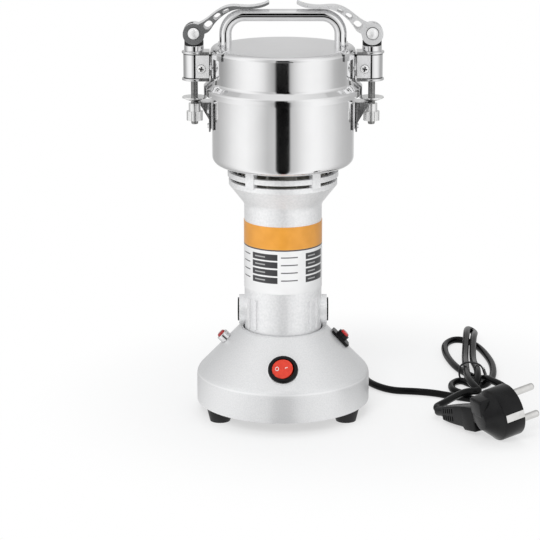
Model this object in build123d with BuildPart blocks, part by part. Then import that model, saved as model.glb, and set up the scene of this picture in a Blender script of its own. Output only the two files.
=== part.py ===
"""Electric grain mill: cast motor neck on a conical base, clamped steel bowl, two cam clamps."""

import os
from math import cos, degrees, pi, radians, sin, sqrt, tan

from build123d import *

os.makedirs("parts", exist_ok=True)

# ---------------------------------------------------------------- driving dimensions (mm)
# Base
foot_height = 9.0
foot_top_radius = 9.0
foot_bottom_radius = 6.8
foot_circle = 49.0
foot_azimuths = (-30, 90, 210)
base_radius = 58.6
band_top = 29.0
cone_top = 59.4
cone_top_radius = 29.5
shoulder_fillet = 7.0
shell_wall = 2.0
lip_bore = 27.0
plate_thickness = 1.6
post_radius = 4.0
plate_screw_circle = 49.5
housing_screw_circle = 30.5
housing_screw_azimuths = (90, 230, 310)

# Neck and motor housing
neck_radius = 26.0
neck_bore = 23.4
flange_z = 46.0
flange_thickness = 2.6
flange_radius = 34.0
flange_flat = 27.2
flare_start = 145.5
flare_end = 158.0
vent_radius = 36.2
vent_low = 161.9
ring_low = 164.3
ring_high = 167.8
housing_top = 172.0
ring_radius = 37.0
chamber_bore = 33.4
vent_post_width = 6.6
vent_posts = 5
rib_azimuths = (43.5, 57.8)
brush_z = 71.0
boss_radius = 10.0
boss_reach = 29.6
cap_radius = 7.9

# Motor
shaft_radius = 4.0
shaft_top = 192.5
bearing_radius = 11.0
bearing_width = 7.0
lower_bearing_z = 50.0
upper_bearing_z = 150.0
core_z = 92.0
core_length = 36.0
core_radius = 23.2
armature_radius = 13.8
commutator_radius = 9.5
fan_z = 159.4
fan_radius = 30.0

# Bowl and lid
bowl_radius = 47.1
bowl_bottom = 172.2
bowl_corner = 5.5
bowl_wall = 0.9
bowl_flange_top = 221.2
lid_radius = 46.8
lid_top = 250.0
lid_corner = 3.0
lid_wall = 0.9
skirt_radius = 51.3
skirt_bottom = 219.0
skirt_shoulder = 223.2
flare_root = 227.0

# Handle
bar_radius = 4.0
handle_leg_x = 37.8
handle_bar_z = 271.0
handle_corner = 12.3

# Clamps
rod_x = 58.5
rod_radius = 2.3
pin_z = 259.7
lever_half_width = 6.0
sleeve_radius = 7.2
sleeve_sheet = 1.2
sleeve_bottom = 229.8
sleeve_top = 246.0
sleeve_inboard_x = 48.5
sleeve_screw_x = 53.6
sleeve_screw_z = 236.5
end_plate = 1.6
bracket_outer = 47.8
ear_top = 214.2
ear_sheet = 1.0
ear_reach = 59.4
nut_top = 212.6
nut_low = 201.2
flute_top = 207.4
rod_low = 198.6
pin_radius = 2.0
eye_half_width = 2.2
cam_radius = 7.1
cam_offset = 0.6
cradle_seat = 8.0
end_plate_radius = 8.1
slot_half_width = 2.65
collar_radius = 6.5
collar_height = 3.9
saddle_low = 197.0
ear_low = 194.6
ear_width = 14.4
dish_low = ear_top + 0.35
# Lever arm: distance inboard of the rod and height, along its top and its underside.
lever_top = [
    (3.2, 265.7), (6.6, 267.4), (12.7, 272.0), (19.8, 276.3),
    (24.5, 277.5), (32.9, 277.2), (42.0, 277.8), (49.0, 280.2),
]
lever_low = [
    (49.6, 279.0), (42.5, 276.3), (32.9, 275.7), (26.8, 275.1),
    (18.8, 271.0), (12.7, 264.6), (10.2, 261.2), (6.6, 259.4),
]
# Lever holes: distance inboard, height, length, width and tilt.
lever_holes = ((9.6, 265.3, 6.4, 4.6, 42), (15.4, 270.9, 5.4, 3.2, 38), (21.2, 274.5, 4.6, 1.9, 24))

# Controls on the cone
switch_z = 42.0
pilot_z = 50.2
bezel_radius = 10.0
rocker_radius = 7.1
rocker_tilt = 7.0
pivot_depth = 1.4
pivot_radius = 1.0
collar_outer = 4.1
collar_reach = 4.9
button_reach = 6.4
lamp_bore = 3.0
stem_radius = 2.3
button_radius = 3.0
breaker_plate_width = 11.0
breaker_plate_length = 15.0
label_low = 88.0
label_high = 134.0

# Cord
cord_diameter = 5.0
cord_radius = cord_diameter / 2
floor_z = cord_radius + 0.1
gland_z = 17.0
gland_tip_y = 82.0
plug_radius = 17.4
plug_head = 15.0
plug_at = (150.3, -59.3)
plug_heading = 26.0
plug_pitch = 10.7
plug_twist = -6.0
# Middle of the grip behind the plug's face: across, down and along the pins.
grip_spots = ((-4, 0.5, -15), (-24, 4.2, -19), (-43, 7.8, -23.5), (-51.2, 9.4, -25.6))
nose_radius = 3.4
contact_pin_radius = 2.4
contact_pin_length = 19.0
contact_pin_spacing = 19.0
clip_depth = 1.1
clip_width = 5.0
clip_length = 13.5
hank_height = 13.0

# ---------------------------------------------------------------- derived values
cone_slope = (base_radius - cone_top_radius) / (cone_top - band_top)


def cone_radius(z):
    """Radius of the base's outer cone at height z."""
    return base_radius - (z - band_top) * cone_slope


def cone_plane(azimuth, z):
    """Plane on the cone, x level, z out along the surface normal."""
    a = radians(azimuth)
    out = (cos(a), sin(a))
    n = Vector(out[0], out[1], cone_slope).normalized()
    spot = (cone_radius(z) * out[0], cone_radius(z) * out[1], z)
    return Plane(origin=spot, x_dir=(-out[1], out[0], 0), z_dir=n)


def side_plane(side, z, x=0.0):
    """Plane square to the X axis at x, facing away from the mill on the given side."""
    return Plane(origin=(side * x, 0, z), x_dir=(0, side, 0), z_dir=(side, 0, 0))


def corner(x, y):
    """The corner of the sketch being drawn that is nearest to a point of its plane."""
    return vertices().sort_by_distance((x, y, 0))[0]


switch_plane = cone_plane(-90, switch_z)
lamp_plane = cone_plane(180, pilot_z)
breaker_plane = cone_plane(0, pilot_z)
gland_plane = Plane(origin=(0, base_radius - 1.0, gland_z), x_dir=(-1, 0, 0), z_dir=(0, 1, 0))
sides = ((-1, "left"), (1, "right"))
heading = radians(plug_heading)
pitch = radians(plug_pitch)
plug_face = Plane(
    origin=(*plug_at, plug_radius * cos(pitch) + plug_head * sin(pitch) + 0.05),
    x_dir=(sin(heading), -cos(heading), 0),
    z_dir=(cos(pitch) * cos(heading), cos(pitch) * sin(heading), sin(pitch)),
)
grip_line = [plug_face.from_local_coords(spot) for spot in grip_spots]
grip_dir = (grip_line[-1] - grip_line[0]).normalized()
nose = grip_line[-1]

# ================================================================ base
with BuildPart() as feet:
    for azimuth in foot_azimuths:
        spot = (foot_circle * cos(radians(azimuth)), foot_circle * sin(radians(azimuth)))
        with Locations(spot):
            Cone(foot_bottom_radius, foot_top_radius, foot_height, align=(Align.CENTER, Align.CENTER, Align.MIN))
            Cylinder(4.2, 3.5, align=(Align.CENTER, Align.CENTER, Align.MIN), mode=Mode.SUBTRACT)
            Cylinder(2.1, foot_height, align=(Align.CENTER, Align.CENTER, Align.MIN), mode=Mode.SUBTRACT)
feet.part.label = "feet"
export_step(feet.part, "parts/feet.step")

inner_band = base_radius - shell_wall
inner_cone_shift = shell_wall * sqrt(1 + cone_slope**2)
with BuildPart() as base_cavity:
    with BuildSketch(Plane.XZ):
        with BuildLine():
            Polyline(
                (0, foot_height - 1),
                (inner_band, foot_height - 1),
                (inner_band, band_top - 0.6),
                (cone_radius(cone_top - 2.2) - inner_cone_shift, cone_top - 2.2),
                (0, cone_top - 2.2),
                close=True,
            )
        make_face()
        fillet(corner(inner_band, band_top - 0.6), 5.0)
    revolve(axis=Axis.Z)
    with Locations((0, 0, foot_height + plate_thickness)):
        with PolarLocations(plate_screw_circle, 4, start_angle=45):
            Cylinder(post_radius, 50, align=(Align.CENTER, Align.CENTER, Align.MIN), mode=Mode.SUBTRACT)
    for azimuth in housing_screw_azimuths:
        a = radians(azimuth)
        spot = (housing_screw_circle * cos(a), housing_screw_circle * sin(a), flange_z + flange_thickness)
        with Locations(spot):
            Cylinder(3.0, 20, align=(Align.CENTER, Align.CENTER, Align.MIN), mode=Mode.SUBTRACT)

with BuildPart() as base_shell:
    with BuildSketch(Plane.XZ):
        with BuildLine():
            Polyline(
                (0, foot_height),
                (base_radius, foot_height),
                (base_radius, band_top),
                (cone_top_radius, cone_top),
                (0, cone_top),
                close=True,
            )
        make_face()
        fillet(corner(base_radius, band_top), shoulder_fillet)
        fillet(corner(cone_top_radius, cone_top), 1.8)
    revolve(axis=Axis.Z)
    add(base_cavity.part, mode=Mode.SUBTRACT)
    with BuildSketch(Plane.XY.offset(cone_top - 10)):
        Circle(lip_bore)
    extrude(amount=12, mode=Mode.SUBTRACT)
    for plane, radius in ((switch_plane, 9.0), (lamp_plane, 3.6), (breaker_plane, 3.7)):
        with BuildSketch(plane.offset(3)):
            Circle(radius)
        extrude(amount=-9, mode=Mode.SUBTRACT)
    with BuildSketch(gland_plane.offset(3)):
        Circle(5.2)
    extrude(amount=-8, mode=Mode.SUBTRACT)
    with Locations((0, 0, foot_height + plate_thickness)):
        with PolarLocations(plate_screw_circle, 4, start_angle=45):
            Cylinder(1.4, 12, align=(Align.CENTER, Align.CENTER, Align.MIN), mode=Mode.SUBTRACT)
    for azimuth in housing_screw_azimuths:
        a = radians(azimuth)
        spot = (housing_screw_circle * cos(a), housing_screw_circle * sin(a), flange_z + flange_thickness)
        with Locations(spot):
            Cylinder(1.4, 4, align=(Align.CENTER, Align.CENTER, Align.MIN), mode=Mode.SUBTRACT)
base_shell.part.label = "base_shell"
export_step(base_shell.part, "parts/base_shell.step")

with BuildPart() as bottom_plate:
    with BuildSketch(Plane.XY.offset(foot_height)):
        Circle(inner_band - 0.25)
        with PolarLocations(foot_circle, 3, start_angle=-30):
            Circle(2.0, mode=Mode.SUBTRACT)
        with PolarLocations(plate_screw_circle, 4, start_angle=45):
            Circle(1.8, mode=Mode.SUBTRACT)
        for ring, count in ((12, 6), (20, 10), (28, 14)):
            with PolarLocations(ring, count):
                SlotOverall(5.5, 2.4, rotation=90, mode=Mode.SUBTRACT)
    extrude(amount=plate_thickness)
bottom_plate.part.label = "bottom_plate"
export_step(bottom_plate.part, "parts/bottom_plate.step")

# ================================================================ neck and motor housing
with BuildPart() as motor_housing:
    with BuildSketch(Plane.XZ):
        with BuildLine():
            Polyline(
                (0, flange_z),
                (flange_radius, flange_z),
                (flange_radius, flange_z + flange_thickness),
                (neck_radius, flange_z + flange_thickness),
                (neck_radius, flare_start),
                (vent_radius - 0.4, flare_end),
                (vent_radius, flare_end + 0.5),
                (vent_radius, vent_low),
                (ring_radius, vent_low),
                (ring_radius, housing_top),
                (0, housing_top),
                close=True,
            )
        make_face()
        fillet(corner(neck_radius, flare_start), 6.0)
    revolve(axis=Axis.Z)
    with BuildSketch(Plane.XZ):
        with BuildLine():
            Polyline(
                (0, flange_z - 1),
                (neck_bore, flange_z - 1),
                (neck_bore, core_z - 2.5),
                (neck_bore - 1.6, core_z - 1.4),
                (neck_bore - 1.6, core_z),
                (neck_bore, core_z),
                (neck_bore, 147),
                (25.5, 147),
                (25.5, 151),
                (chamber_bore, 159),
                (chamber_bore, housing_top - 1.6),
                (0, housing_top - 1.6),
                close=True,
            )
        make_face()
    revolve(axis=Axis.Z, mode=Mode.SUBTRACT)
    for low, high in ((vent_low, ring_low), (ring_high, housing_top - 1.2)):
        with BuildSketch(Plane.XY.offset(low)):
            Circle(45)
            Circle(chamber_bore - 3, mode=Mode.SUBTRACT)
        extrude(amount=high - low, mode=Mode.SUBTRACT)
    for post in range(vent_posts):
        azimuth = 90 + post * 360 / vent_posts
        a = radians(azimuth)
        with Locations(Location((35.4 * cos(a), 35.4 * sin(a), vent_low - 0.6), (0, 0, azimuth))):
            Box(3.9, vent_post_width, housing_top - vent_low + 0.3, align=(Align.CENTER, Align.CENTER, Align.MIN))
    for side in (-1, 1):
        with BuildSketch(side_plane(side, brush_z, neck_bore - 0.6)):
            Circle(boss_radius)
        extrude(amount=boss_reach - neck_bore + 0.6)
        with BuildSketch(side_plane(side, brush_z, 18)):
            Circle(5.55)
        extrude(amount=14, mode=Mode.SUBTRACT)
        with BuildSketch(side_plane(side, brush_z, boss_reach - 2.2)):
            Circle(cap_radius + 0.15)
        extrude(amount=4, mode=Mode.SUBTRACT)
        for front in (-1, 1):
            for azimuth in rib_azimuths:
                a = radians(90 - azimuth)
                spot = (side * (neck_radius + 0.2) * cos(a), front * (neck_radius + 0.2) * sin(a), 62)
                with Locations(Location(spot, (0, 0, side * front * degrees(a)))):
                    Box(2.2, 1.5, 20, align=(Align.CENTER, Align.CENTER, Align.MIN))
    with BuildSketch(Plane.XY.offset(flange_z)):
        for side in (-1, 1):
            with Locations((side * (flange_flat + 10), 0)):
                Rectangle(20, 80)
    extrude(amount=flange_thickness, mode=Mode.SUBTRACT)
    with BuildSketch(Plane.XY.offset(housing_top - 2)):
        Circle(14.0)
        with PolarLocations(27, 4, start_angle=45):
            Circle(1.6)
    extrude(amount=3, mode=Mode.SUBTRACT)
    with BuildSketch(Plane.XY.offset(flange_z - 1)):
        for azimuth in housing_screw_azimuths:
            a = radians(azimuth)
            with Locations((housing_screw_circle * cos(a), housing_screw_circle * sin(a))):
                Circle(1.7)
    extrude(amount=4, mode=Mode.SUBTRACT)
motor_housing.part.label = "motor_housing"
export_step(motor_housing.part, "parts/motor_housing.step")

with BuildPart() as lower_bearing_plate:
    with BuildSketch(Plane.XY.offset(flange_z - 3)):
        Circle(flange_radius)
        Rectangle(2 * flange_flat, 80, mode=Mode.INTERSECT)
        Circle(4.6, mode=Mode.SUBTRACT)
        for azimuth in housing_screw_azimuths:
            a = radians(azimuth)
            with Locations((housing_screw_circle * cos(a), housing_screw_circle * sin(a))):
                Circle(1.7, mode=Mode.SUBTRACT)
        with PolarLocations(18, 6, start_angle=30):
            Circle(3.4, mode=Mode.SUBTRACT)
    extrude(amount=3)
    with BuildSketch(Plane.XY.offset(flange_z)):
        Circle(13.4)
        Circle(4.6, mode=Mode.SUBTRACT)
    extrude(amount=lower_bearing_z - flange_z)
    with BuildSketch(Plane.XY.offset(lower_bearing_z)):
        Circle(13.4)
        Circle(bearing_radius + 0.01, mode=Mode.SUBTRACT)
    extrude(amount=bearing_width)
lower_bearing_plate.part.label = "lower_bearing_plate"
export_step(lower_bearing_plate.part, "parts/lower_bearing_plate.step")

# Screws of the base: through the feet, the bottom plate and the housing flange.
with BuildPart() as base_screws:
    for azimuth in foot_azimuths:
        spot = (foot_circle * cos(radians(azimuth)), foot_circle * sin(radians(azimuth)), 3.5)
        with Locations(spot):
            Cylinder(3.6, 2.2, align=(Align.CENTER, Align.CENTER, Align.MAX))
            Cylinder(1.9, 9.5, align=(Align.CENTER, Align.CENTER, Align.MIN))
            with Locations((0, 0, -1.6)):
                Box(4.6, 0.8, 1.2, mode=Mode.SUBTRACT)
                Box(0.8, 4.6, 1.2, mode=Mode.SUBTRACT)
    with Locations((0, 0, foot_height)):
        with PolarLocations(plate_screw_circle, 4, start_angle=45):
            Cylinder(3.0, 1.8, align=(Align.CENTER, Align.CENTER, Align.MAX))
            Cylinder(1.4, 11, align=(Align.CENTER, Align.CENTER, Align.MIN))
            with Locations((0, 0, -1.3)):
                Box(4.0, 0.8, 1.2, mode=Mode.SUBTRACT)
                Box(0.8, 4.0, 1.2, mode=Mode.SUBTRACT)
    for azimuth in housing_screw_azimuths:
        a = radians(azimuth)
        with Locations((housing_screw_circle * cos(a), housing_screw_circle * sin(a), flange_z - 3)):
            Cylinder(2.8, 2.2, align=(Align.CENTER, Align.CENTER, Align.MAX))
            Cylinder(1.4, 8.8, align=(Align.CENTER, Align.CENTER, Align.MIN))
base_screws.part.label = "base_screws"
export_step(base_screws.part, "parts/base_screws.step")

with BuildPart() as upper_bearing_plate:
    with BuildSketch(Plane.XY.offset(147)):
        Circle(25.3)
        Circle(4.6, mode=Mode.SUBTRACT)
        with PolarLocations(19, 6):
            Circle(4.2, mode=Mode.SUBTRACT)
    extrude(amount=upper_bearing_z - 147)
    with BuildSketch(Plane.XY.offset(upper_bearing_z)):
        Circle(13.4)
        Circle(bearing_radius + 0.01, mode=Mode.SUBTRACT)
    extrude(amount=bearing_width)
upper_bearing_plate.part.label = "upper_bearing_plate"
export_step(upper_bearing_plate.part, "parts/upper_bearing_plate.step")

with BuildPart() as bearings:
    for bearing_z in (lower_bearing_z, upper_bearing_z):
        with BuildSketch(Plane.XY.offset(bearing_z)):
            Circle(bearing_radius)
            Circle(9.3, mode=Mode.SUBTRACT)
            Circle(6.0)
            Circle(shaft_radius + 0.03, mode=Mode.SUBTRACT)
        extrude(amount=bearing_width)
        with Locations((0, 0, bearing_z + bearing_width / 2)):
            Torus(7.65, 2.0, mode=Mode.SUBTRACT)
            with PolarLocations(7.65, 7):
                Sphere(1.95)
bearings.part.label = "bearings"
export_step(bearings.part, "parts/bearings.step")

# ================================================================ motor
pole_half_angle = 50
with BuildPart() as stator_core:
    with BuildSketch(Plane.XY.offset(core_z)):
        Circle(core_radius)
        Circle(18.6, mode=Mode.SUBTRACT)
        with BuildSketch(mode=Mode.PRIVATE) as pole_ring:
            Circle(19.0)
            Circle(armature_radius + 0.6, mode=Mode.SUBTRACT)
            wedge = 40 * tan(radians(pole_half_angle))
            with BuildSketch(mode=Mode.INTERSECT):
                Polygon((0, 0), (wedge, 40), (-wedge, 40), align=None)
                Polygon((0, 0), (wedge, -40), (-wedge, -40), align=None)
        add(pole_ring.sketch)
    extrude(amount=core_length)
stator_core.part.label = "stator_core"
export_step(stator_core.part, "parts/stator_core.step")

with BuildPart() as field_coils:
    for facing in (1, -1):
        wide = 40 * tan(radians(pole_half_angle + 14))
        slim = 40 * tan(radians(pole_half_angle + 1.5))
        with BuildSketch(Plane.XY.offset(core_z - 5)):
            Circle(18.3)
            Circle(15.0, mode=Mode.SUBTRACT)
            with BuildSketch(mode=Mode.INTERSECT):
                Polygon((0, 0), (wide, facing * 40), (-wide, facing * 40), align=None)
        extrude(amount=core_length + 10)
    for facing in (1, -1):
        with BuildSketch(Plane.XY.offset(core_z - 0.3)):
            Polygon((0, 0), (slim, facing * 40), (-slim, facing * 40), align=None)
        extrude(amount=core_length + 0.6, mode=Mode.SUBTRACT)
field_coils.part.label = "field_coils"
export_step(field_coils.part, "parts/field_coils.step")

with BuildPart() as brush_holders:
    for side in (-1, 1):
        with BuildSketch(side_plane(side, brush_z, commutator_radius + 1.3)):
            Circle(5.5)
            Rectangle(5.2, 8.2, mode=Mode.SUBTRACT)
        extrude(amount=boss_reach - 2.3 - commutator_radius - 1.3)
brush_holders.part.label = "brush_holders"
export_step(brush_holders.part, "parts/brush_holders.step")

with BuildPart() as carbon_brushes:
    for side in (-1, 1):
        with BuildSketch(side_plane(side, brush_z, commutator_radius + 0.1)):
            Rectangle(5.0, 8.0)
        extrude(amount=11)
carbon_brushes.part.label = "carbon_brushes"
export_step(carbon_brushes.part, "parts/carbon_brushes.step")

spring_start = commutator_radius + 11.4
spring_length = boss_reach - 2.5 - spring_start
with BuildPart() as brush_springs:
    for side in (-1, 1):
        with BuildLine():
            coil = Helix(
                pitch=spring_length / 5,
                height=spring_length - 0.6,
                radius=1.8,
                center=(side * (spring_start + 0.3), 0, brush_z),
                direction=(side, 0, 0),
            )
        with BuildSketch(Plane(origin=coil @ 0, z_dir=coil % 0)):
            Circle(0.25)
        sweep(path=coil, is_frenet=True)
brush_springs.part.label = "brush_springs"
export_step(brush_springs.part, "parts/brush_springs.step")

with BuildPart() as brush_caps:
    for side in (-1, 1):
        with BuildSketch(side_plane(side, brush_z, boss_reach - 2.1)):
            Circle(cap_radius)
        extrude(amount=3.1)
        with BuildSketch(side_plane(side, brush_z, boss_reach - 0.2)):
            Rectangle(1.6, 11)
        extrude(amount=3, mode=Mode.SUBTRACT)
brush_caps.part.label = "brush_caps"
export_step(brush_caps.part, "parts/brush_caps.step")

with BuildPart() as shaft:
    with BuildSketch(Plane.XY.offset(lower_bearing_z - 1)):
        Circle(shaft_radius)
    extrude(amount=shaft_top - lower_bearing_z + 1)
    chamfer(edges().filter_by(GeomType.CIRCLE), 0.6)
shaft.part.label = "shaft"
export_step(shaft.part, "parts/shaft.step")
shaft_fit = shaft_radius + 0.02

with BuildPart() as armature_core:
    with BuildSketch(Plane.XY.offset(core_z + 0.5)):
        Circle(armature_radius)
        Circle(shaft_fit, mode=Mode.SUBTRACT)
        with PolarLocations(11.2, 12):
            Circle(1.7, mode=Mode.SUBTRACT)
        with PolarLocations(13.2, 12):
            Rectangle(3.0, 1.0, mode=Mode.SUBTRACT)
    extrude(amount=core_length - 1)
armature_core.part.label = "armature_core"
export_step(armature_core.part, "parts/armature_core.step")

with BuildPart() as armature_winding:
    with BuildSketch(Plane.XY.offset(core_z - 4)):
        with PolarLocations(11.2, 12):
            Circle(1.6)
    extrude(amount=core_length + 8)
    for middle in (core_z - 3.6, core_z + core_length + 3.6):
        with BuildSketch(Plane.XZ):
            with Locations((9.2, middle)):
                RectangleRounded(7.6, 6.6, 2.4)
        revolve(axis=Axis.Z)
armature_winding.part.label = "armature_winding"
export_step(armature_winding.part, "parts/armature_winding.step")

with BuildPart() as commutator:
    with BuildSketch(Plane.XY.offset(brush_z - 8)):
        Circle(commutator_radius)
        Circle(shaft_fit, mode=Mode.SUBTRACT)
        with PolarLocations(commutator_radius, 24):
            Rectangle(2.0, 0.5, mode=Mode.SUBTRACT)
    extrude(amount=16)
    with BuildSketch(Plane.XY.offset(brush_z + 8)):
        Circle(10.6)
        Circle(shaft_fit, mode=Mode.SUBTRACT)
    extrude(amount=2.0)
commutator.part.label = "commutator"
export_step(commutator.part, "parts/commutator.step")

with BuildPart() as cooling_fan:
    with BuildSketch(Plane.XY.offset(fan_z)):
        Circle(fan_radius)
    extrude(amount=1.4)
    with BuildSketch(Plane.XY.offset(fan_z)):
        Circle(8.0)
    extrude(amount=9.6)
    with BuildSketch(Plane.XY.offset(fan_z + 1.4)):
        with PolarLocations(19, 9):
            Rectangle(20, 1.3, rotation=24)
    extrude(amount=7.6)
    with BuildSketch(Plane.XY.offset(fan_z - 1)):
        Circle(shaft_fit)
    extrude(amount=14, mode=Mode.SUBTRACT)
cooling_fan.part.label = "cooling_fan"
export_step(cooling_fan.part, "parts/cooling_fan.step")

# ================================================================ bowl and blades
with BuildPart() as bowl:
    with BuildSketch(Plane.XZ):
        with BuildLine():
            Polyline(
                (7.6, bowl_bottom),
                (bowl_radius, bowl_bottom),
                (bowl_radius, bowl_flange_top - bowl_wall),
                (50.2, bowl_flange_top - bowl_wall),
                (50.2, bowl_flange_top),
                (bowl_radius - bowl_wall, bowl_flange_top),
                (bowl_radius - bowl_wall, bowl_bottom + bowl_wall),
                (7.6, bowl_bottom + bowl_wall),
                close=True,
            )
        make_face()
        fillet(corner(bowl_radius, bowl_bottom), bowl_corner)
        fillet(corner(bowl_radius - bowl_wall, bowl_bottom + bowl_wall), bowl_corner - bowl_wall)
    revolve(axis=Axis.Z)
    with BuildSketch(Plane.XY.offset(bowl_bottom - 1)):
        with PolarLocations(27, 4, start_angle=45):
            Circle(1.7)
    extrude(amount=3, mode=Mode.SUBTRACT)
bowl.part.label = "bowl"
export_step(bowl.part, "parts/bowl.step")

with BuildPart() as bowl_screws:
    with Locations((0, 0, bowl_bottom + bowl_wall)):
        with PolarLocations(27, 4, start_angle=45):
            Cylinder(3.4, 1.8, align=(Align.CENTER, Align.CENTER, Align.MIN))
            Cylinder(1.5, 4.0, align=(Align.CENTER, Align.CENTER, Align.MAX))
            with Locations((0, 0, 1.3)):
                Box(4.4, 0.8, 1.2, mode=Mode.SUBTRACT)
                Box(0.8, 4.4, 1.2, mode=Mode.SUBTRACT)
bowl_screws.part.label = "bowl_screws"
export_step(bowl_screws.part, "parts/bowl_screws.step")

with BuildPart() as shaft_seal:
    with BuildSketch(Plane.XZ):
        with BuildLine():
            Polyline(
                (shaft_radius + 0.15, housing_top - 1.4),
                (13.8, housing_top - 1.4),
                (13.8, bowl_bottom - 0.2),
                (7.5, bowl_bottom - 0.2),
                (7.5, bowl_bottom + 2.2),
                (shaft_radius + 0.15, bowl_bottom + 2.8),
                close=True,
            )
        make_face()
    revolve(axis=Axis.Z)
shaft_seal.part.label = "shaft_seal"
export_step(shaft_seal.part, "parts/shaft_seal.step")

spacer_low = bowl_bottom + 3.6
blade_sheet = 1.6
curved_z = spacer_low + 4.0
cross_z = curved_z + blade_sheet + 5.0
with BuildPart() as blade_spacers:
    for low, height in ((spacer_low, 4.0), (curved_z + blade_sheet, 5.0)):
        with BuildSketch(Plane.XY.offset(low)):
            Circle(7.0)
            Circle(shaft_fit, mode=Mode.SUBTRACT)
        extrude(amount=height)
blade_spacers.part.label = "blade_spacers"
export_step(blade_spacers.part, "parts/blade_spacers.step")

with BuildPart() as curved_blade:
    with BuildSketch(Plane.XY.offset(curved_z)):
        Circle(7.5)
    extrude(amount=blade_sheet)
    for turn in (0, 180):
        with BuildSketch(Plane.XY.offset(curved_z).rotated((0, 0, turn))):
            with BuildLine():
                ThreePointArc((-7, 0), (16, 15), (40, 6))
                ThreePointArc((40, 6), (20, 6), (5, -5.5))
                Line((5, -5.5), (-7, 0))
            make_face()
        extrude(amount=blade_sheet)
    with BuildSketch(Plane.XY.offset(curved_z)):
        Circle(shaft_fit)
    extrude(amount=blade_sheet, mode=Mode.SUBTRACT)
curved_blade.part.label = "curved_blade"
export_step(curved_blade.part, "parts/curved_blade.step")

with BuildPart() as cross_blade:
    with BuildSketch(Plane.XY.offset(cross_z)):
        Circle(7.5)
    extrude(amount=blade_sheet)
    for arm in range(4):
        with BuildSketch(Plane.XY.offset(cross_z).rotated((0, 0, arm * 90 + 45))):
            Polygon((0, -5), (26, -4), (33, 4), (0, 5), align=None)
        extrude(amount=blade_sheet)
    with BuildSketch(Plane.XY.offset(cross_z)):
        Circle(shaft_fit)
    extrude(amount=blade_sheet, mode=Mode.SUBTRACT)
cross_blade.part.label = "cross_blade"
export_step(cross_blade.part, "parts/cross_blade.step")

with BuildPart() as blade_nut:
    with BuildSketch(Plane.XY.offset(cross_z + blade_sheet)):
        RegularPolygon(7.0, 6)
        Circle(shaft_fit, mode=Mode.SUBTRACT)
    extrude(amount=6.0)
    with BuildSketch(Plane.XY.offset(cross_z + blade_sheet + 6.0)):
        Circle(5.4)
    extrude(amount=4.0, taper=25)
blade_nut.part.label = "blade_nut"
export_step(blade_nut.part, "parts/blade_nut.step")

# ================================================================ lid and handle
with BuildPart() as lid:
    with BuildSketch(Plane.XZ):
        with BuildLine():
            Polyline(
                (0, lid_top),
                (lid_radius, lid_top),
                (lid_radius, flare_root),
                (skirt_radius, skirt_shoulder),
                (skirt_radius, skirt_bottom),
                (skirt_radius - lid_wall, skirt_bottom),
                (skirt_radius - lid_wall, skirt_shoulder - 0.4),
                (lid_radius - lid_wall, flare_root - 0.4),
                (lid_radius - lid_wall, lid_top - lid_wall),
                (0, lid_top - lid_wall),
                close=True,
            )
        make_face()
        fillet(corner(lid_radius, lid_top), lid_corner)
        fillet(corner(lid_radius - lid_wall, lid_top - lid_wall), lid_corner - lid_wall)
        fillet(corner(lid_radius, flare_root), 2.4)
        fillet(corner(lid_radius - lid_wall, flare_root - 0.4), 2.4)
        fillet(corner(skirt_radius, skirt_shoulder), 2.0)
        fillet(corner(skirt_radius - lid_wall, skirt_shoulder - 0.4), 1.4)
    revolve(axis=Axis.Z)
    with BuildSketch(Plane.XY.offset(lid_top - 3)):
        with Locations((-handle_leg_x, 0), (handle_leg_x, 0)):
            Circle(2.1)
    extrude(amount=6, mode=Mode.SUBTRACT)
lid.part.label = "lid"
export_step(lid.part, "parts/lid.step")

with BuildPart() as lid_gasket:
    with BuildSketch(Plane.XY.offset(bowl_flange_top)):
        Circle(50.1)
        Circle(47.6, mode=Mode.SUBTRACT)
    extrude(amount=1.4)
lid_gasket.part.label = "lid_gasket"
export_step(lid_gasket.part, "parts/lid_gasket.step")

with BuildPart() as handle:
    with BuildLine(Plane.XZ) as handle_path:
        FilletPolyline(
            (-handle_leg_x, lid_top),
            (-handle_leg_x, handle_bar_z),
            (handle_leg_x, handle_bar_z),
            (handle_leg_x, lid_top),
            radius=handle_corner,
        )
    with BuildSketch(Plane.XY.offset(lid_top)):
        with Locations((-handle_leg_x, 0)):
            Circle(bar_radius)
    sweep(path=handle_path.line)
    with BuildSketch(Plane.XY.offset(lid_top)):
        with Locations((-handle_leg_x, 0), (handle_leg_x, 0)):
            Circle(1.9)
    extrude(amount=9, mode=Mode.SUBTRACT)
handle.part.label = "handle"
export_step(handle.part, "parts/handle.step")

with BuildPart() as handle_screws:
    for x in (-handle_leg_x, handle_leg_x):
        with Locations((x, 0, lid_top - lid_wall)):
            Cylinder(5.0, 0.9, align=(Align.CENTER, Align.CENTER, Align.MAX))
            Cylinder(1.9, 8.0, align=(Align.CENTER, Align.CENTER, Align.MIN))
        with Locations((x, 0, lid_top - lid_wall - 0.9)):
            Cylinder(3.4, 2.2, align=(Align.CENTER, Align.CENTER, Align.MAX))
handle_screws.part.label = "handle_screws"
export_step(handle_screws.part, "parts/handle_screws.step")

# ================================================================ clamps
lug_half_gap = 4.3
lug_sheet = 1.0
plate_line = [(46.95, 230.8), (46.95, 247.5), (bracket_outer, 247.5), (bracket_outer, 230.8)]
strap_top = lid_top + 0.95
strap_line = [
    (46.95, 244.2),
    (46.95, lid_top + 0.12),
    (42.9, lid_top + 0.12),
    (42.9, strap_top),
    (bracket_outer, strap_top),
    (bracket_outer, 244.2),
]
strap_bends = ((46.95, lid_top + 0.12, 3.0), (bracket_outer, strap_top, 3.7))
tongue_line = [
    (46.95, 232.5),
    (46.95, flare_root + 0.9),
    (51.45, skirt_shoulder + 0.9),
    (51.45, 217.6),
    (52.3, 217.6),
    (52.3, skirt_shoulder + 1.6),
    (bracket_outer, flare_root + 1.5),
    (bracket_outer, 232.5),
]

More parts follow.
